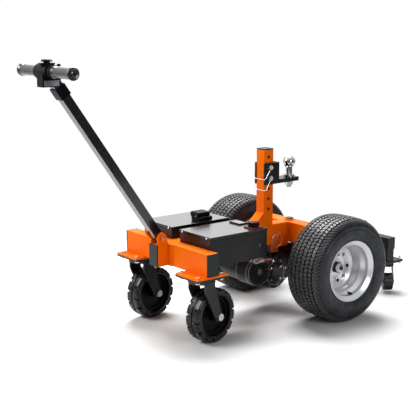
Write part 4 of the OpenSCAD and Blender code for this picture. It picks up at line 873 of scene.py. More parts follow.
    def lamp(self, name: str, place: Point, aim: Point, size: float, power: float) -> None:
        """One soft square lamp that hangs at a place and faces a point.

        Args:
            name: Name of the lamp.
            place: Where it hangs.
            aim: Point it faces.
            size: Width and height in metres.
            power: Power in watts.
        """
        data = bpy.data.lights.new(name, "AREA")
        data.shape = "SQUARE"
        data.size = size
        data.energy = power
        made = bpy.data.objects.new(name, data)
        bpy.context.scene.collection.objects.link(made)
        away = Vector(place) - Vector(aim)
        made.matrix_world = Matrix.Translation(place) @ away.to_track_quat("Z", "Y").to_matrix().to_4x4()

    def build(self) -> None:
        """Makes the whole studio."""
        bpy.context.scene.view_settings.view_transform = "Standard"
        self.camera()
        self.surround()
        self.floor()
        for values in self.lamps:
            self.lamp(*values)
        log.info("studio ready")


@dataclass
class SteelFrame(Assembly):
    """The orange frame: spine, beams, caster pads, drive saddle, ears and the plastic tube caps.

    Attributes:
        tube_edge, plate_edge, cap_edge: Widths of the round edges in millimetres.
    """

    tube_edge: float = 3.0
    plate_edge: float = 0.9
    cap_edge: float = 1.2

    def build(self) -> None:
        """Dresses the frame and lays its weld beads."""
        for name in ("spine_tube", "front_beam", "rear_beam"):
            self.soften(name, ORANGE, self.tube_edge, segments=3)
        for name in ("caster_pads", "axle_saddle", "handle_ears"):
            self.soften(name, ORANGE, self.plate_edge)
        self.soften("end_caps", CAP_PLASTIC, self.cap_edge)
        self.paint(ZINC, "handle_pivot")
        self.paint(DULL_ZINC, "frame_pin")
        weld("frame_welds", both_sides([
            [(25.6, -615.6, 264), (25.6, -615.6, 342)], [(25.6, -25.6, 264), (25.6, -25.6, 342)],
            [(25.6, -565, 264), (25.6, -565, 276)], [(128, -615.5, 262.4), (246, -615.5, 262.4)],
            [(128, -564.5, 262.4), (246, -564.5, 262.4)], [(18.2, -672, 344.4), (18.2, -628, 344.4)],
            [(22, 35.4, 262), (22, 35.4, 284)]]))


@dataclass
class HitchPost(Assembly):
    """The drilled post with its ball mount and the two bail pins.

    Attributes:
        post_edge, bracket_edge, nut_edge: Widths of the round edges in millimetres.
    """

    post_edge: float = 2.6
    bracket_edge: float = 2.0
    nut_edge: float = 1.0

    def build(self) -> None:
        """Dresses the post, the ball mount and the pins."""
        self.soften("post", ORANGE, self.post_edge, segments=3)
        self.soften("ball_bracket", BLACK_GLOSS, self.bracket_edge)
        self.paint(CHROME, "hitch_ball")
        self.soften("ball_nut", ZINC, self.nut_edge)
        self.paint(DULL_ZINC, "hitch_pin_upper", "hitch_pin_lower")
        foot = [(-23.4, -152, 344.6), (-23.4, -106, 344.6), (23.4, -106, 344.6), (23.4, -152, 344.6)]
        weld("post_welds", [foot, *both_sides([[(2.6, -193, 344.6), (2.6, -153, 344.6)]])])


@dataclass
class BatteryBoxes(Assembly):
    """The two battery boxes with their lids, screws, charge block, gauge and isolator.

    Attributes:
        box_edge, lid_edge: Widths of the round edges in millimetres.
        foot, cap, window: Lowest corner, highest corner and edge radius of the charge block's two parts
            and of the gauge's window, in millimetres.
        port, screw: Places of the charge block's port and screw in millimetres.
    """

    box_edge: float = 1.2
    lid_edge: float = 3.6
    foot: tuple[Point, Point, float] = ((-82.0, -433.0, 389.0), (-27.0, -369.0, 406.0), 5.0)
    cap: tuple[Point, Point, float] = ((-85.0, -436.0, 403.0), (-33.0, -375.0, 424.0), 7.0)
    window: tuple[Point, Point, float] = ((55.0, -345.0, 392.6), (105.0, -315.0, 394.5), 0.9)
    port: Point = (-46.0, -435.5, 409.0)
    screw: Point = (-27.3, -388.0, 398.0)

    def build(self) -> None:
        """Dresses the boxes and what stands on them."""
        self.soften("battery_boxes", BLACK_SHEET, self.box_edge)
        for side in Side:
            self.soften(f"battery_lid_{side.word}", BLACK_LID, self.lid_edge, segments=4, sides=BLACK_GLOSS)
        self.paint(CASE_GREY, "batteries")
        self.paint(ZINC, "lid_screws")
        self.charge_block()
        self.soften("charge_gauge", BLACK_PLASTIC, 1.0)
        rounded_box("gauge_window", *self.window, PLATE_GREY)
        self.soften("isolator_base", RED_PLASTIC, 0.8)
        self.soften("isolator_knob", BLACK_PLASTIC, 1.4)

    def charge_block(self) -> None:
        """The charge block on the left lid: a foot, a wider cap, a port with its pin, and a side screw."""
        foot = rounded_box("charge_block_foot", *self.foot, BLACK_PLASTIC)
        cap = rounded_box("charge_block_cap", *self.cap, BLACK_PLASTIC, steps=6)
        self.replace(BLACK_PLASTIC, "charge_block", foot, cap)
        port = Placement(metres(self.port), (1.0, 0.0, 0.0), (0.0, 0.0, 1.0), (0.0, -1.0, 0.0))
        ring = [(2.2, 0.0), (6.4, 0.0), (6.4, 1.6), (5.6, 2.2), (2.6, 2.2), (2.2, 1.6)]
        revolve("charge_port", ring, port, BLACK_GLOSS, steps=40, closed=True)
        pin = [(0.0, 0.0), (2.2, 0.0), (2.2, 1.8), (1.4, 2.6), (0.0, 2.8)]
        revolve("charge_pin", pin, port, ZINC, steps=24)
        screw = Placement(metres(self.screw), (0.0, 1.0, 0.0), (0.0, 0.0, 1.0), (1.0, 0.0, 0.0))
        hex_heads("charge_screws", [screw], 6.0, 2.2, BLACK_GLOSS)


@dataclass
class DriveWheel(SidedAssembly):
    """One drive wheel: tyre with a block tread, pressed rim, valve and axle nut.

    Attributes:
        offset: Distance of the tyre middle from the machine middle.
        height: Height of the axle.
        radius: Outer radius.
        half: Half width at the widest.
        flange: Radius of the rim's flange.
        pitches: Tread pitches around.
        depth: Depth of the tread grooves.
        groove: Half width of a groove round the tyre.
        bevel: Width of the slope at each side of a groove.
        zigzag: Side to side swing of the grooves round the tyre.
        rows: Middles of the grooves round the tyre, as arc lengths from the crown in millimetres.
        cell: Marks of the groove across the tyre, as shares of a pitch.
        cut: How deep the groove across is at each mark.
        tread_end: Arc lengths in millimetres between which the grooves fade out.
        shoulder: Arc length in millimetres beyond which the grooves across are shallower.
        shoulder_depth: How deep they are there, as a share of the depth.
        rings: Arc lengths in millimetres of the two fine rings on the sidewall.
        ring_size: Height and half width of a ring.
        band: Arc lengths in millimetres of the ends of the raised band on the sidewall.
        band_height: Height of the band.
        band_slope: Half length in millimetres of the slope at each end of the band.
        vents: Vents in the disc of the rim.
        disc_steps: Points of the disc around and along.
        disc_start: Inner radius of the disc in millimetres.
        disc_step: Growth of the radius from one point of the disc to the next, in millimetres.
        lug_circle: Radius of the circle of lugs in millimetres.
        sheet: Thickness of the disc.
        valve: Place of the valve on the right wheel in millimetres.
        nut: X of the axle nut on the right wheel in millimetres.
    """

    offset: float = 280 * MM
    height: float = 204 * MM
    radius: float = 203.7 * MM
    half: float = 83.2 * MM
    flange: float = 118.6 * MM
    pitches: int = 84
    depth: float = 6.0 * MM
    groove: float = 2.3 * MM
    bevel: float = 0.9 * MM
    zigzag: float = 1.2 * MM
    rows: tuple[float, ...] = (-62.0, -43.0, -22.0, 0.0, 22.0, 43.0, 62.0)
    cell: tuple[float, ...] = (0.0, 0.06, 0.24, 0.30, 0.66)
    cut: tuple[float, ...] = (0.0, 1.0, 1.0, 0.0, 0.0)
    tread_end: Pair = (98.0, 92.0)
    shoulder: float = 68.0
    shoulder_depth: float = 0.7
    rings: Pair = (101.0, 154.0)
    ring_size: float = 1.1 * MM
    band: Pair = (108.0, 146.0)
    band_height: float = 1.2 * MM
    band_slope: float = 0.7
    vents: int = 4
    disc_steps: tuple[int, int] = (144, 27)
    disc_start: float = 21.4
    disc_step: float = 2.49
    lug_circle: float = 50.8
    sheet: float = 3.2 * MM
    valve: Point = (320.0, 14.0, 110.5)
    nut: float = 286.2

    def body(self) -> str:
        """The body that carries the wheel."""
        return self.named("drive_wheel")

    def frame(self) -> Placement:
        """The placement of this wheel, third axis outwards."""
        return on_axle(self.side.value * self.offset, 0.0, self.height, self.side.value)

    def section(self) -> tuple[np.ndarray, np.ndarray, np.ndarray]:
        """Outer section of the plain tyre, from the inner bead over the crown to the outer bead.

        The stations give the share of the wall's height and of the half width.

        Returns:
            Arc length, radius and offset of closely spaced points on a smoothed line through the stations.
        """
        samples, reach = 1201, 30
        stations = np.array([
            [0.0, 0.905], [0.035, 0.925], [0.09, 0.955], [0.2, 0.982], [0.34, 0.998], [0.48, 1.0],
            [0.62, 0.99], [0.74, 0.965], [0.84, 0.92], [0.91, 0.85], [0.955, 0.76], [0.978, 0.64],
            [0.99, 0.46], [0.997, 0.24], [1.0, 0.0]])
        both = np.concatenate([stations * [1, -1], stations[::-1][1:]])
        both = both * [self.radius - self.flange, self.half] + [self.flange, 0.0]
        run = np.concatenate([[0.0], np.cumsum(np.hypot(*np.diff(both, axis=0).T))])
        fine = np.linspace(0.0, run[-1], samples)
        window = np.hanning(2 * reach + 1)
        line = []
        for k in (0, 1):
            padded = np.pad(np.interp(fine, run, both[:, k]), reach, mode="reflect", reflect_type="odd")
            line.append(np.convolve(padded, window / window.sum(), mode="valid"))
        arc = np.concatenate([[0.0], np.cumsum(np.hypot(np.diff(line[0]), np.diff(line[1])))])
        return arc, line[0], line[1]

    def grid_lines(self, middle: float) -> np.ndarray:
        """Places of the tyre's grid lines, dense at each groove, ring and end of the band.

        Args:
            middle: Arc length from a bead to the crown.

        Returns:
            Sorted arc lengths from the crown, negative on the inner side.
        """
        even, least_gap, digits = 45, 0.4 * MM, 5
        edge = self.groove + self.bevel
        rows, rings, band = (np.array(v)[:, None] * MM for v in (self.rows, self.rings, self.band))
        marks = rows + np.array([-edge, -self.groove, self.groove, edge])
        wall = np.concatenate([
            (rings + np.array([-1.8, -0.9, 0.0, 0.9, 1.8]) * MM).ravel(),
            (band + np.array([-1.0, 1.0]) * self.band_slope * MM).ravel(),
            np.array([70.0, 76.0, 82.0, 88.0, 92.0, 95.0]) * MM])
        station = np.concatenate([marks.ravel(), wall, -wall, np.linspace(-middle, middle, even)])
        station = np.unique(np.round(station[np.abs(station) <= middle], digits))
        station = station[np.concatenate([[True], np.diff(station) > least_gap])]
        station[0], station[-1] = -middle, middle
        return station

    def tyre(self) -> None:
        """Builds the tyre on a grid that follows its grooves.

        The first parameter goes round the tyre and the second along the section's arc length. Each grid
        point is the section point moved inwards along the section's normal by the tread depth where the
        point is in a groove. The grooves round the tyre swing from side to side with the angle, and the
        grooves across it are shifted round by an amount that grows towards the shoulders, so the grid lines
        bend with both.
        """
        lean, weave, weave_length, stagger, wave_start = 1.5, 0.26, 43 * MM, 0.22, 0.4
        arc, r_line, w_line = self.section()
        middle = arc[-1] / 2
        slope_r, slope_w = np.gradient(r_line, arc), np.gradient(w_line, arc)
        size = np.hypot(slope_r, slope_w)
        station = self.grid_lines(middle)
        far = np.abs(station)
        rows = np.array(self.rows) * MM
        pitch = TURN / self.pitches
        turn = (np.arange(self.pitches)[:, None] + np.array(self.cell)[None, :]).ravel() * pitch
        across = np.tile(self.cut, self.pitches)[:, None]
        phase = np.where(np.searchsorted(rows, station) % 2 == 0, 0.0, stagger)
        bend = lean * rise(far, 40.0, 95.0) ** 1.5 * np.sign(station)
        bend = bend + weave * np.cos(station * TURN / weave_length)
        angle = turn[:, None] + ((phase + bend) * pitch)[None, :]
        wave = 2 / math.pi * np.arcsin(np.sin(turn * self.pitches / 2 + wave_start))[:, None]
        at = station[None, :] + rise(far, 70.0, 62.0)[None, :] * self.zigzag * wave + middle

        near = np.min(np.abs(station[:, None] - rows[None, :]), axis=1)
        round_cut = np.clip((self.groove + self.bevel - near) / self.bevel, 0.0, 1.0)[None, :]
        across_cut = across * np.where(far > self.shoulder * MM, self.shoulder_depth, 1.0)[None, :]
        depth = self.depth * np.maximum(round_cut, across_cut) * rise(far, *self.tread_end)[None, :]
        lift = self.ring_size * sum(np.exp(-((far - c * MM) / self.ring_size) ** 2) for c in self.rings)
        (start, end), soft = self.band, self.band_slope
        raised = rise(far, start - soft, start + soft) * rise(far, end + soft, end - soft)
        lift = lift + self.band_height * raised
        move = lift[None, :] - depth
        r = np.interp(at, arc, r_line) + np.interp(at, arc, slope_w / size) * move
        w = np.interp(at, arc, w_line) - np.interp(at, arc, slope_r / size) * move

        inner = np.array([
            [117.6, 75.3], [112.6, 72.4], [107.6, 68.6], [103.6, 65.6], [102.2, 61.0], [102.2, 53.0],
            [106.0, 51.0], [112.0, 60.0], [122.0, 68.0], [150.0, 74.0], [175.0, 73.0], [188.0, 62.0],
            [192.0, 42.0], [193.0, 0.0]]) * MM
        inner = np.concatenate([inner, inner[::-1][1:] * [1, -1]])
        count, more = len(turn), len(inner)
        r = np.concatenate([r, np.tile(inner[:, 0], (count, 1))], axis=1)
        w = np.concatenate([w, np.tile(inner[:, 1], (count, 1))], axis=1)
        angle = np.concatenate([angle, np.tile(turn[:, None] + bend[-1] * pitch, (1, more))], axis=1)
        # painted shade deep in the grooves and a painted highlight on the tread tops, kept in the groove
        # attribute
        deep = np.clip(depth / (0.5 * self.depth), 0.0, 1.0)
        worn = rise(far, 92.0, 66.0)[None, :] * (1.0 - deep)
        hollow = np.concatenate([deep - worn, np.zeros((count, more))], axis=1)
        made = mesh_object(self.named("tyre") + "_treaded", self.frame().place(polar(r, angle, w)),
                           grid_faces(count, r.shape[1], True, True), TYRE, self.body(), sharp=42.0,
                           hollow=hollow)
        self.replace(TYRE, self.named("tyre"), made)

    def barrel(self) -> bpy.types.Object:
        """The rim's rolled barrel with curled flanges: a half section and its mirror image, turned.

        Returns:
            The new object.
        """
        seen = [(118.5, 77.4), (117.7, 78.8), (116.0, 79.0), (113.4, 77.9), (110.2, 75.3), (106.4, 72.2),
                (102.4, 70.2), (99.6, 67.6), (98.5, 64.0), (98.3, 56.0), (97.4, 52.8), (94.6, 49.6),
                (88.0, 42.4), (85.4, 38.8), (84.6, 34.0)]
        hidden = [(118.3, 76.0), (116.8, 75.9), (113.4, 73.6), (109.0, 70.2), (104.4, 67.2),
                  (102.0, 65.2), (101.5, 61.0), (101.3, 55.0), (100.2, 51.6), (97.0, 47.9), (90.2, 40.8),
                  (88.0, 37.0), (87.6, 33.0)]
        other, far = ([(r, -h) for r, h in half] for half in (seen, hidden))
        return revolve(self.named("rim") + "_barrel", seen + other[::-1] + far + hidden[::-1],
                       self.frame(), RIM_SILVER, self.body(), steps=144, closed=True, sharp=28.0)

    def disc(self) -> bpy.types.Object:
        """The rim's lobed disc with its vents.

        It is a polar grid whose height is a flat middle, a bump at each lug and a dished outer ring. Round
        each vent the grid is drawn onto a circle, and the quads inside are left out.

        Returns:
            The new object.
        """
        around, along = self.disc_steps
        share, vent_row, vent_half, keep_from = around // self.vents, 16, 6.0, 0.5
        i, j = np.meshgrid(np.arange(around), np.arange(along), indexing="ij")
        to_lug = (i + share // 2) % share - share // 2
        vent_i, vent_j = (i - share // 2) % share, j - vent_row
        vent_i = np.where(vent_i > share // 2, vent_i - share, vent_i)
        mark = np.maximum(np.abs(vent_i), np.abs(vent_j)) / vent_half
        size = np.hypot(vent_i, vent_j) / vent_half
        keep = np.clip((mark - keep_from) / keep_from, 0.0, 1.0)
        drawn = keep + (1 - keep) * mark / np.maximum(size, 1e-9)
        scale = np.where((mark > 0) & (mark < 1), drawn, 1.0)
        angle = i * TURN / around + (scale - 1) * vent_i * TURN / around
        radius = self.disc_start + j * self.disc_step + (scale - 1) * vent_j * self.disc_step
        lug = np.hypot((to_lug * TURN / around) * radius, radius - self.lug_circle)
        height = (-9.0 + 2.2 * np.exp(-(lug / 11.0) ** 4) - 1.2 * np.exp(-((radius - 61.0) / 7.0) ** 2)
                  + 5.5 * np.clip((radius - 70.0) / 12.0, 0.0, 1.0) ** 2
                  - 2.0 * np.exp(-((radius - 34.0) / 5.0) ** 2))
        quads = grid_faces(around, along, True, False)
        solid = mark.ravel()[quads].max(axis=1) > keep_from + 0.01
        made = mesh_object(self.named("rim") + "_disc",
                           self.frame().place(polar(radius, angle, height) * MM), quads[solid],
                           RIM_SILVER, self.body(), sharp=50.0)
        wall = made.modifiers.new("sheet", "SOLIDIFY")
        wall.thickness = self.sheet
        wall.offset = 0.0
        wall.use_rim = True
        soft = made.modifiers.new("round_edges", "BEVEL")
        soft.width = 0.8 * MM
        soft.segments = 2
        soft.limit_method = "ANGLE"
        soft.angle_limit = math.radians(60)
        return made

    def trim(self) -> None:
        """A rubber valve stem with its cap, and the nut and washer on the axle's end."""
        line = [(0.0, 0.0), (6.2, 0.0), (6.6, 1.5), (4.6, 3.4), (4.2, 14.0), (3.4, 16.0), (4.4, 16.8),
                (4.6, 24.0), (3.8, 26.0), (0.0, 26.4)]
        sign = self.side.value
        axes = ((0.0, 1.0, 0.0), (0.0, 0.0, 1.0), (sign * 1.0, 0.0, 0.0))
        x, y, z = metres(self.valve)
        valve = Placement((sign * x, y, z), *axes)
        revolve(self.named("valve"), line, valve, BLACK_PLASTIC, self.body(), steps=24)
        nut = Placement((sign * self.nut * MM, 0.0, self.height), *axes)
        hex_heads(self.named("axle_nut"), [nut], 27.0, 11.0, ZINC, self.body(), washer=2.4)

    def build(self) -> None:
        """Makes every piece of this wheel."""
        self.tyre()
        self.replace(RIM_SILVER, self.named("rim"), self.barrel(), self.disc())
        self.trim()
        self.soften(self.named("hub"), BLACK_SATIN, 0.9)
        self.soften(self.named("lug_nuts"), ZINC, 1.6)


@dataclass
class DriveUnit(Assembly):
    """The drive unit under the frame: gear case, motor, brake, terminals, straps and leads.

    Attributes:
        motor: Y and Z of the motor's axis in millimetres.
        gears: Y and Z of the middle of the gear case's side in millimetres.
        case_face: X of that side in millimetres.
        case_ring: Number of bolts round the gear case, radius of their circle in millimetres and turn
            of the first as a share of a step.
        cover_ring: The same for the bolts on the side cover.
        cover_face: X of the side cover's face in millimetres.
        plug: Place of the drain plug in millimetres.
        band_radius: Inner radius of the motor's bands in millimetres.
        lead_radius: Radius of a motor lead in millimetres.
    """

    motor: Pair = (-261.0, 195.0)
    gears: Pair = (-112.0, 150.0)
    case_face: float = 45.8
    case_ring: tuple[int, float, float] = (8, 54.2, 0.3)
    cover_ring: tuple[int, float, float] = (4, 34.0, 0.5)
    cover_face: float = 50.6
    plug: Point = (45.8, -180.0, 138.0)
    band_radius: float = 54.6
    lead_radius: float = 3.6

    def ring_places(self, x: float, count: int, radius: float, first: float) -> list[Placement]:
        """Even places round the gear case's middle, facing the right.

        Args:
            x: Their X in millimetres.
            count: How many.
            radius: Radius of their circle in millimetres.
            first: Turn of the first place, as a share of a step.

        Returns:
            The placements.
        """
        angles = (TURN * (k + first) / count for k in range(count))
        y, z = self.gears
        return [on_axle(x * MM, (y + radius * math.cos(t)) * MM, (z + radius * math.sin(t)) * MM)
                for t in angles]

    def cover(self) -> None:
        """Adds the machined edges of the motor and the gear case's side cover, the bolts and the plug."""
        r = self.band_radius
        motor = on_axle(0.0, *metres(self.motor))
        for name, low, high in (("motor_band_outer", 104.0, 108.2), ("motor_band_inner", 47.0, 50.0)):
            band = [(r, low), (r + 0.9, low + 0.4), (r + 0.9, high - 0.4), (r, high)]
            revolve(name, band, motor, MACHINED, closed=True)
        edge = [(50.4, 119.6), (51.0, 120.9), (53.4, 120.9), (54.4, 119.9), (54.4, 119.6)]
        revolve("shield_edge", edge, motor, MACHINED, closed=True)
        step = [(30.0, 119.6), (30.6, 122.0), (33.6, 122.0), (34.2, 119.6)]
        revolve("shield_step", step, motor, CASTING, steps=72, closed=True)
        cap = [(0.0, 123.6), (10.6, 123.6), (11.6, 125.2), (10.8, 127.2), (0.0, 127.6)]
        revolve("bearing_cap", cap, motor, MACHINED, steps=48)
        middle = on_axle(0.0, *metres(self.gears))
        cover = [(0.0, 45.6), (47.5, 45.6), (47.5, 48.6), (44.5, 50.4), (24.0, 50.8), (22.0, 54.6),
                 (0.0, 55.4)]
        revolve("side_cover", cover, middle, CASTING)
        edge = [(45.2, 49.8), (46.0, 50.6), (48.2, 49.4), (48.2, 46.0), (47.4, 46.0)]
        revolve("side_cover_edge", edge, middle, MACHINED, closed=True)
        bolts = self.ring_places(self.case_face, *self.case_ring)
        hex_heads("case_bolts", bolts, 8.0, 4.4, ZINC, washer=1.0)
        bolts = self.ring_places(self.cover_face, *self.cover_ring)
        hex_heads("cover_bolts", bolts, 6.5, 3.6, DULL_ZINC, washer=0.8)
        hex_heads("drain_plug", [on_axle(*metres(self.plug))], 12.0, 5.0, BRASS, washer=1.4)

    def leads(self) -> None:
        """Two motor leads from the terminals up into the box, each through its gland."""
        collar = [(3.8, 0.0), (8.5, 0.0), (8.5, 3.0), (7.0, 3.4), (7.0, 8.0), (5.6, 10.0), (3.8, 10.2)]
        ends = ((WIRE_RED, -216.0, 238.0, 148.0, -318), (WIRE_GREY, -258.0, 240.0, 172.0, -332))
        for k, (finish, y, z, x, back) in enumerate(ends, 1):
            line = [(134, y, z), (146, y - 2, z + 2), (156, y - 16, z + 8), (x - 4, y - 50, z + 10),
                    (x, back + 6, 252), (x, back, 268), (x, back, 279)]
            sweep(f"motor_lead_{k}", smooth_line(line), self.lead_radius * MM, finish, sides=14)
            down = Placement(metres((x, back, 277.8)), (1.0, 0.0, 0.0), (0.0, -1.0, 0.0), (0.0, 0.0, -1.0))
            revolve(f"lead_gland_{k}", collar, down, BLACK_PLASTIC, steps=32, closed=True)

    def build(self) -> None:
        """Dresses the drive unit and adds its edges, bolts and leads."""
        self.soften("transaxle_case", CASTING, 4.0, segments=3)
        self.soften("motor_can", BLACK_SATIN, 1.2)
        self.soften("motor_shield", CASTING, 1.5)
        self.soften("parking_brake", BLACK_SATIN, 2.0)
        self.paint(COPPER, "motor_terminals")
        self.cover()
        self.soften("axle_straps", ZINC, 0.8)
        self.leads()


@dataclass
class FrontCaster(SidedAssembly):
    """One swivelling front caster with its lugged solid tyre.

    Attributes:
        lugs: Lugs around each shoulder.
        cell: Marks of a slot, as shares of a lug.
        cut: How deep the slot is at each mark.
        stagger: Shift of the slots on each shoulder, as a share of a lug.
        slot: Depth of a slot at the shoulder.
        fine_slot: Depth of its end towards the middle groove.
        draft: How far a slot's floor moves in for each unit of its depth.
        height: Height of the axle.
        bore: Radius of the tyre's seat on the hub.
        seat: Half width of that seat.
        yaw: Turn of the caster about Z in degrees.
        swivel: Distance of the swivel from the machine's middle, and its Y, in millimetres.
    """

    lugs: int = 14
    cell: tuple[float, ...] = (0.0, 0.04, 0.2, 0.24, 0.45, 0.7)
    cut: tuple[float, ...] = (0.0, 1.0, 1.0, 0.0, 0.0, 0.0)
    stagger: float = 0.25
    slot: float = 8.5 * MM
    fine_slot: float = 1.5 * MM
    draft: float = 0.12
    height: float = 100 * MM
    bore: float = 74.2 * MM
    seat: float = 12 * MM
    yaw: float = 9.0
    swivel: Pair = (187.0, -591.5)

    def tyre(self) -> None:
        """Builds the lugged tyre: a section with a middle groove, cut by slots at both shoulders.

        The first parameter goes round the tyre and the second along the section. A slot lowers the points
        of its shoulder towards the axle, deepest at the edge, and its walls are a short slope.
        """
        node = self.named("caster_tyre")
        low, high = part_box(node)
        middle = (low + high) / 2
        frame = on_axle(middle.x, middle.y, self.height, 1, math.radians(self.yaw))
        half = np.array([
            [74.2, 26.0], [75.2, 29.6], [78.0, 30.8], [83.0, 29.2], [88.0, 29.8], [90.4, 30.8],
            [93.0, 30.9], [95.6, 30.2], [97.8, 28.2], [99.2, 25.2], [99.8, 21.0], [99.8, 14.0],
            [99.8, 8.0], [99.5, 4.4], [98.4, 3.4], [95.4, 2.6], [94.6, 1.6], [94.5, 0.0]])
        section = np.concatenate([half * [1, -1], half[::-1][1:]]) * MM
        count = self.lugs * len(self.cell)
        turn = (np.arange(self.lugs)[:, None] + np.array(self.cell)[None, :]).ravel() * TURN / self.lugs
        across = np.tile(self.cut, self.lugs)[:, None]
        radius, place = section.T
        far = np.abs(place)
        phase = np.where(place > 0, self.stagger, -self.stagger) * rise(far, 0.0, 3.4)
        angle = turn[:, None] + phase[None, :] * TURN / self.lugs
        reach = rise(far, 12.0, 15.0) * rise(radius, 88.2, 91.2)
        fine = rise(far, 3.4, 4.9) * (radius > 97 * MM) * (reach < 0.05)
        depth = across * (self.slot * reach + self.fine_slot * fine)[None, :]
        r = radius[None, :] - depth
        w = place[None, :] - np.sign(place)[None, :] * depth * self.draft
        ends = np.ones((count, 1))
        r = np.concatenate([r, ends * self.bore, ends * self.bore], axis=1)
        w = np.concatenate([w, ends * self.seat, ends * -self.seat], axis=1)
        angle = np.concatenate([angle, angle[:, -1:], angle[:, :1]], axis=1)
        made = mesh_object(node + "_lugged", frame.place(polar(r, angle, w)),
                           grid_faces(count, r.shape[1], True, True), TREAD, self.named("caster_wheel"),
                           sharp=32.0)
        self.replace(TREAD, node, made)

    def race(self) -> None:
        """The bright ball race round the top of the fork: a ring with a groove."""
        x, y = self.swivel
        line = [(33.0, 238.6), (36.6, 238.6), (37.4, 239.6), (37.4, 241.0), (36.2, 241.8), (37.4, 242.6),
                (37.4, 244.4), (36.6, 245.2), (33.0, 245.2)]
        place = Placement(metres((self.side.value * x, y, 0.0)))
        revolve(self.named("caster_race"), line, place, ZINC, steps=72, closed=True)

    def build(self) -> None:
        """Makes every piece of this caster."""
        self.tyre()
        self.soften(self.named("caster_fork"), FORK_SATIN, 0.9)
        self.race()
        self.soften(self.named("caster_hub"), BLACK_PLASTIC, 1.5, segments=3)
        self.soften(self.named("caster_axle"), ZINC, 1.2)


@dataclass
class Plates(Assembly):
    """The bolted plates of the front casters and of the stabilisers.

    Attributes:
        plate_edge, bolt_edge: Widths of the round edges in millimetres.
    """

    plate_edge: float = 0.8
    bolt_edge: float = 0.7

    def build(self) -> None:
        """Dresses the plates and the bolts through them."""
        self.soften("caster_plates", BLACK_GLOSS, self.plate_edge)
        self.soften("plate_bolts", ZINC, self.bolt_edge)


@dataclass
class Outrigger(Assembly):
    """The rear outrigger with its two swivelling stabiliser wheels.

    Attributes:
        tube_edge, plate_edge, fork_edge, wheel_edge: Widths of the round edges in millimetres.
        bead: Radius of its weld beads in millimetres.
    """

    tube_edge: float = 2.4
    plate_edge: float = 0.6
    fork_edge: float = 0.5
    wheel_edge: float = 1.5
    bead: float = 2.0

    def build(self) -> None:
        """Dresses the outrigger and the stabilisers."""
        self.soften("outrigger", BLACK_SATIN, self.tube_edge, segments=3)
        self.soften("stabiliser_plates", BLACK_GLOSS, self.plate_edge)
        for side in Side:
            self.soften(f"stabiliser_fork_{side.word}", BLACK_SATIN, self.fork_edge)
            self.soften(f"stabiliser_wheel_{side.word}", TREAD, self.wheel_edge, segments=3)
        runs = [[(22.4, 401.6, 242), (22.4, 401.6, 282)], [(171, 402, 137.6), (171, 440, 137.6)]]
        weld("outrigger_welds", both_sides(runs), BLACK_SATIN, self.bead)


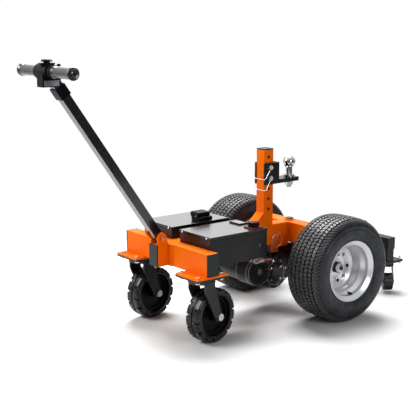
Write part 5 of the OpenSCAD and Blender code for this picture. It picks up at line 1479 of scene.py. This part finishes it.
@dataclass
class Tiller(Assembly):
    """The tiller: tube, head, bar, grips, throttle lever and stop button.

    Attributes:
        bar: Y and Z of the handlebar's axis in millimetres.
        stop: Y of the stop button's axis in millimetres.
        ribs: Ribs round a grip.
        rib_steps: Points on each rib.
        rib: Height of a rib to each side of the mean.
        plate: Lowest and highest corner of the head's bare plate, and its edge radius, in millimetres.
    """

    bar: Pair = (-1073.6, 980.2)
    stop: float = -1073.54
    ribs: int = 24
    rib_steps: int = 6
    rib: float = 0.14 * MM
    plate: tuple[Point, Point, float] = ((19.6, -1096.0, 934.0), (20.9, -1041.0, 953.0), 0.5)

    def grip(self, side: Side) -> None:
        """Builds one ribbed rubber grip with its end flange.

        The first parameter goes round the bar and the second along a closed section from the bar over the
        collar, the body and the flange to the end's dimple. The body's radius swells with the cosine of a
        whole number of ribs round.

        Args:
            side: Which end of the bar.
        """
        section = np.array([
            [11.2, 52.2], [19.4, 52.2], [20.4, 53.4], [20.4, 57.0], [19.2, 58.6], [17.9, 60.0],
            [17.6, 62.0], [17.6, 90.0], [17.7, 120.0], [17.9, 150.0], [18.3, 158.0], [19.6, 162.0],
            [21.2, 165.6], [21.6, 168.0], [21.2, 170.6], [20.0, 171.8], [14.5, 171.9], [13.6, 171.2],
            [7.6, 171.2], [6.6, 171.8], [3.4, 171.8], [3.0, 171.0], [3.0, 167.0], [11.2, 166.4]]) * MM
        count = self.rib_steps * self.ribs
        radius, along = section.T
        angle = circle(count)[:, None]
        body = rise(along, 58.0, 62.0) * rise(along, 160.0, 154.0)
        points = polar(radius[None, :] + self.rib * np.cos(angle * self.ribs) * body[None, :], angle,
                       along[None, :])
        frame = on_axle(0.0, *metres(self.bar), side.value)
        made = mesh_object(f"grip_{side.word}_ribbed", frame.place(points),
                           grid_faces(count, len(section), True, True), GRIP, "tiller", sharp=40.0)
        self.replace(GRIP, "handgrips", made)

    def button(self) -> None:
        """Turns the stop button: stem, cap with round edges and a slightly hollow top."""
        line = [(0.0, 996.6), (10.4, 996.6), (10.98, 997.2), (10.98, 1013.03), (18.4, 1013.03),
                (19.0, 1013.6), (19.0, 1015.4), (18.6, 1016.5), (15.8, 1019.3), (14.6, 1019.9),
                (13.2, 1020.03), (8.0, 1019.6), (0.0, 1019.4)]
        place = Placement((0.0, self.stop * MM, 0.0))
        made = revolve("stop_button_turned", line, place, BLACK_PLASTIC, "stop", steps=72)
        self.replace(BLACK_PLASTIC, "stop_button", made)

    def build(self) -> None:
        """Dresses the tiller and its controls."""
        self.soften("tiller_tube", TUBE_GLOSS, 3.2, segments=4)
        self.soften("tiller_head", BLACK_PLASTIC, 1.4)
        rounded_box("head_plate", *self.plate, PLATE_GREY, "tiller")
        self.paint(ZINC, "handlebar")
        for side in Side:
            self.grip(side)
        self.soften("throttle_lever", BLACK_PLASTIC, 1.0)
        self.button()


def main() -> None:
    """Builds the studio and the machine."""
    logging.basicConfig(level=logging.INFO, format="%(name)s: %(message)s")
    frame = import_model()
    nodes = frame["nodes"]
    Studio().build()
    SteelFrame(nodes).build()
    HitchPost(nodes).build()
    BatteryBoxes(nodes).build()
    for side in Side:
        DriveWheel(nodes, side).build()
    DriveUnit(nodes).build()
    for side in Side:
        FrontCaster(nodes, side).build()
    Plates(nodes).build()
    Outrigger(nodes).build()
    Tiller(nodes).build()


if __name__ == "__main__":
    main()
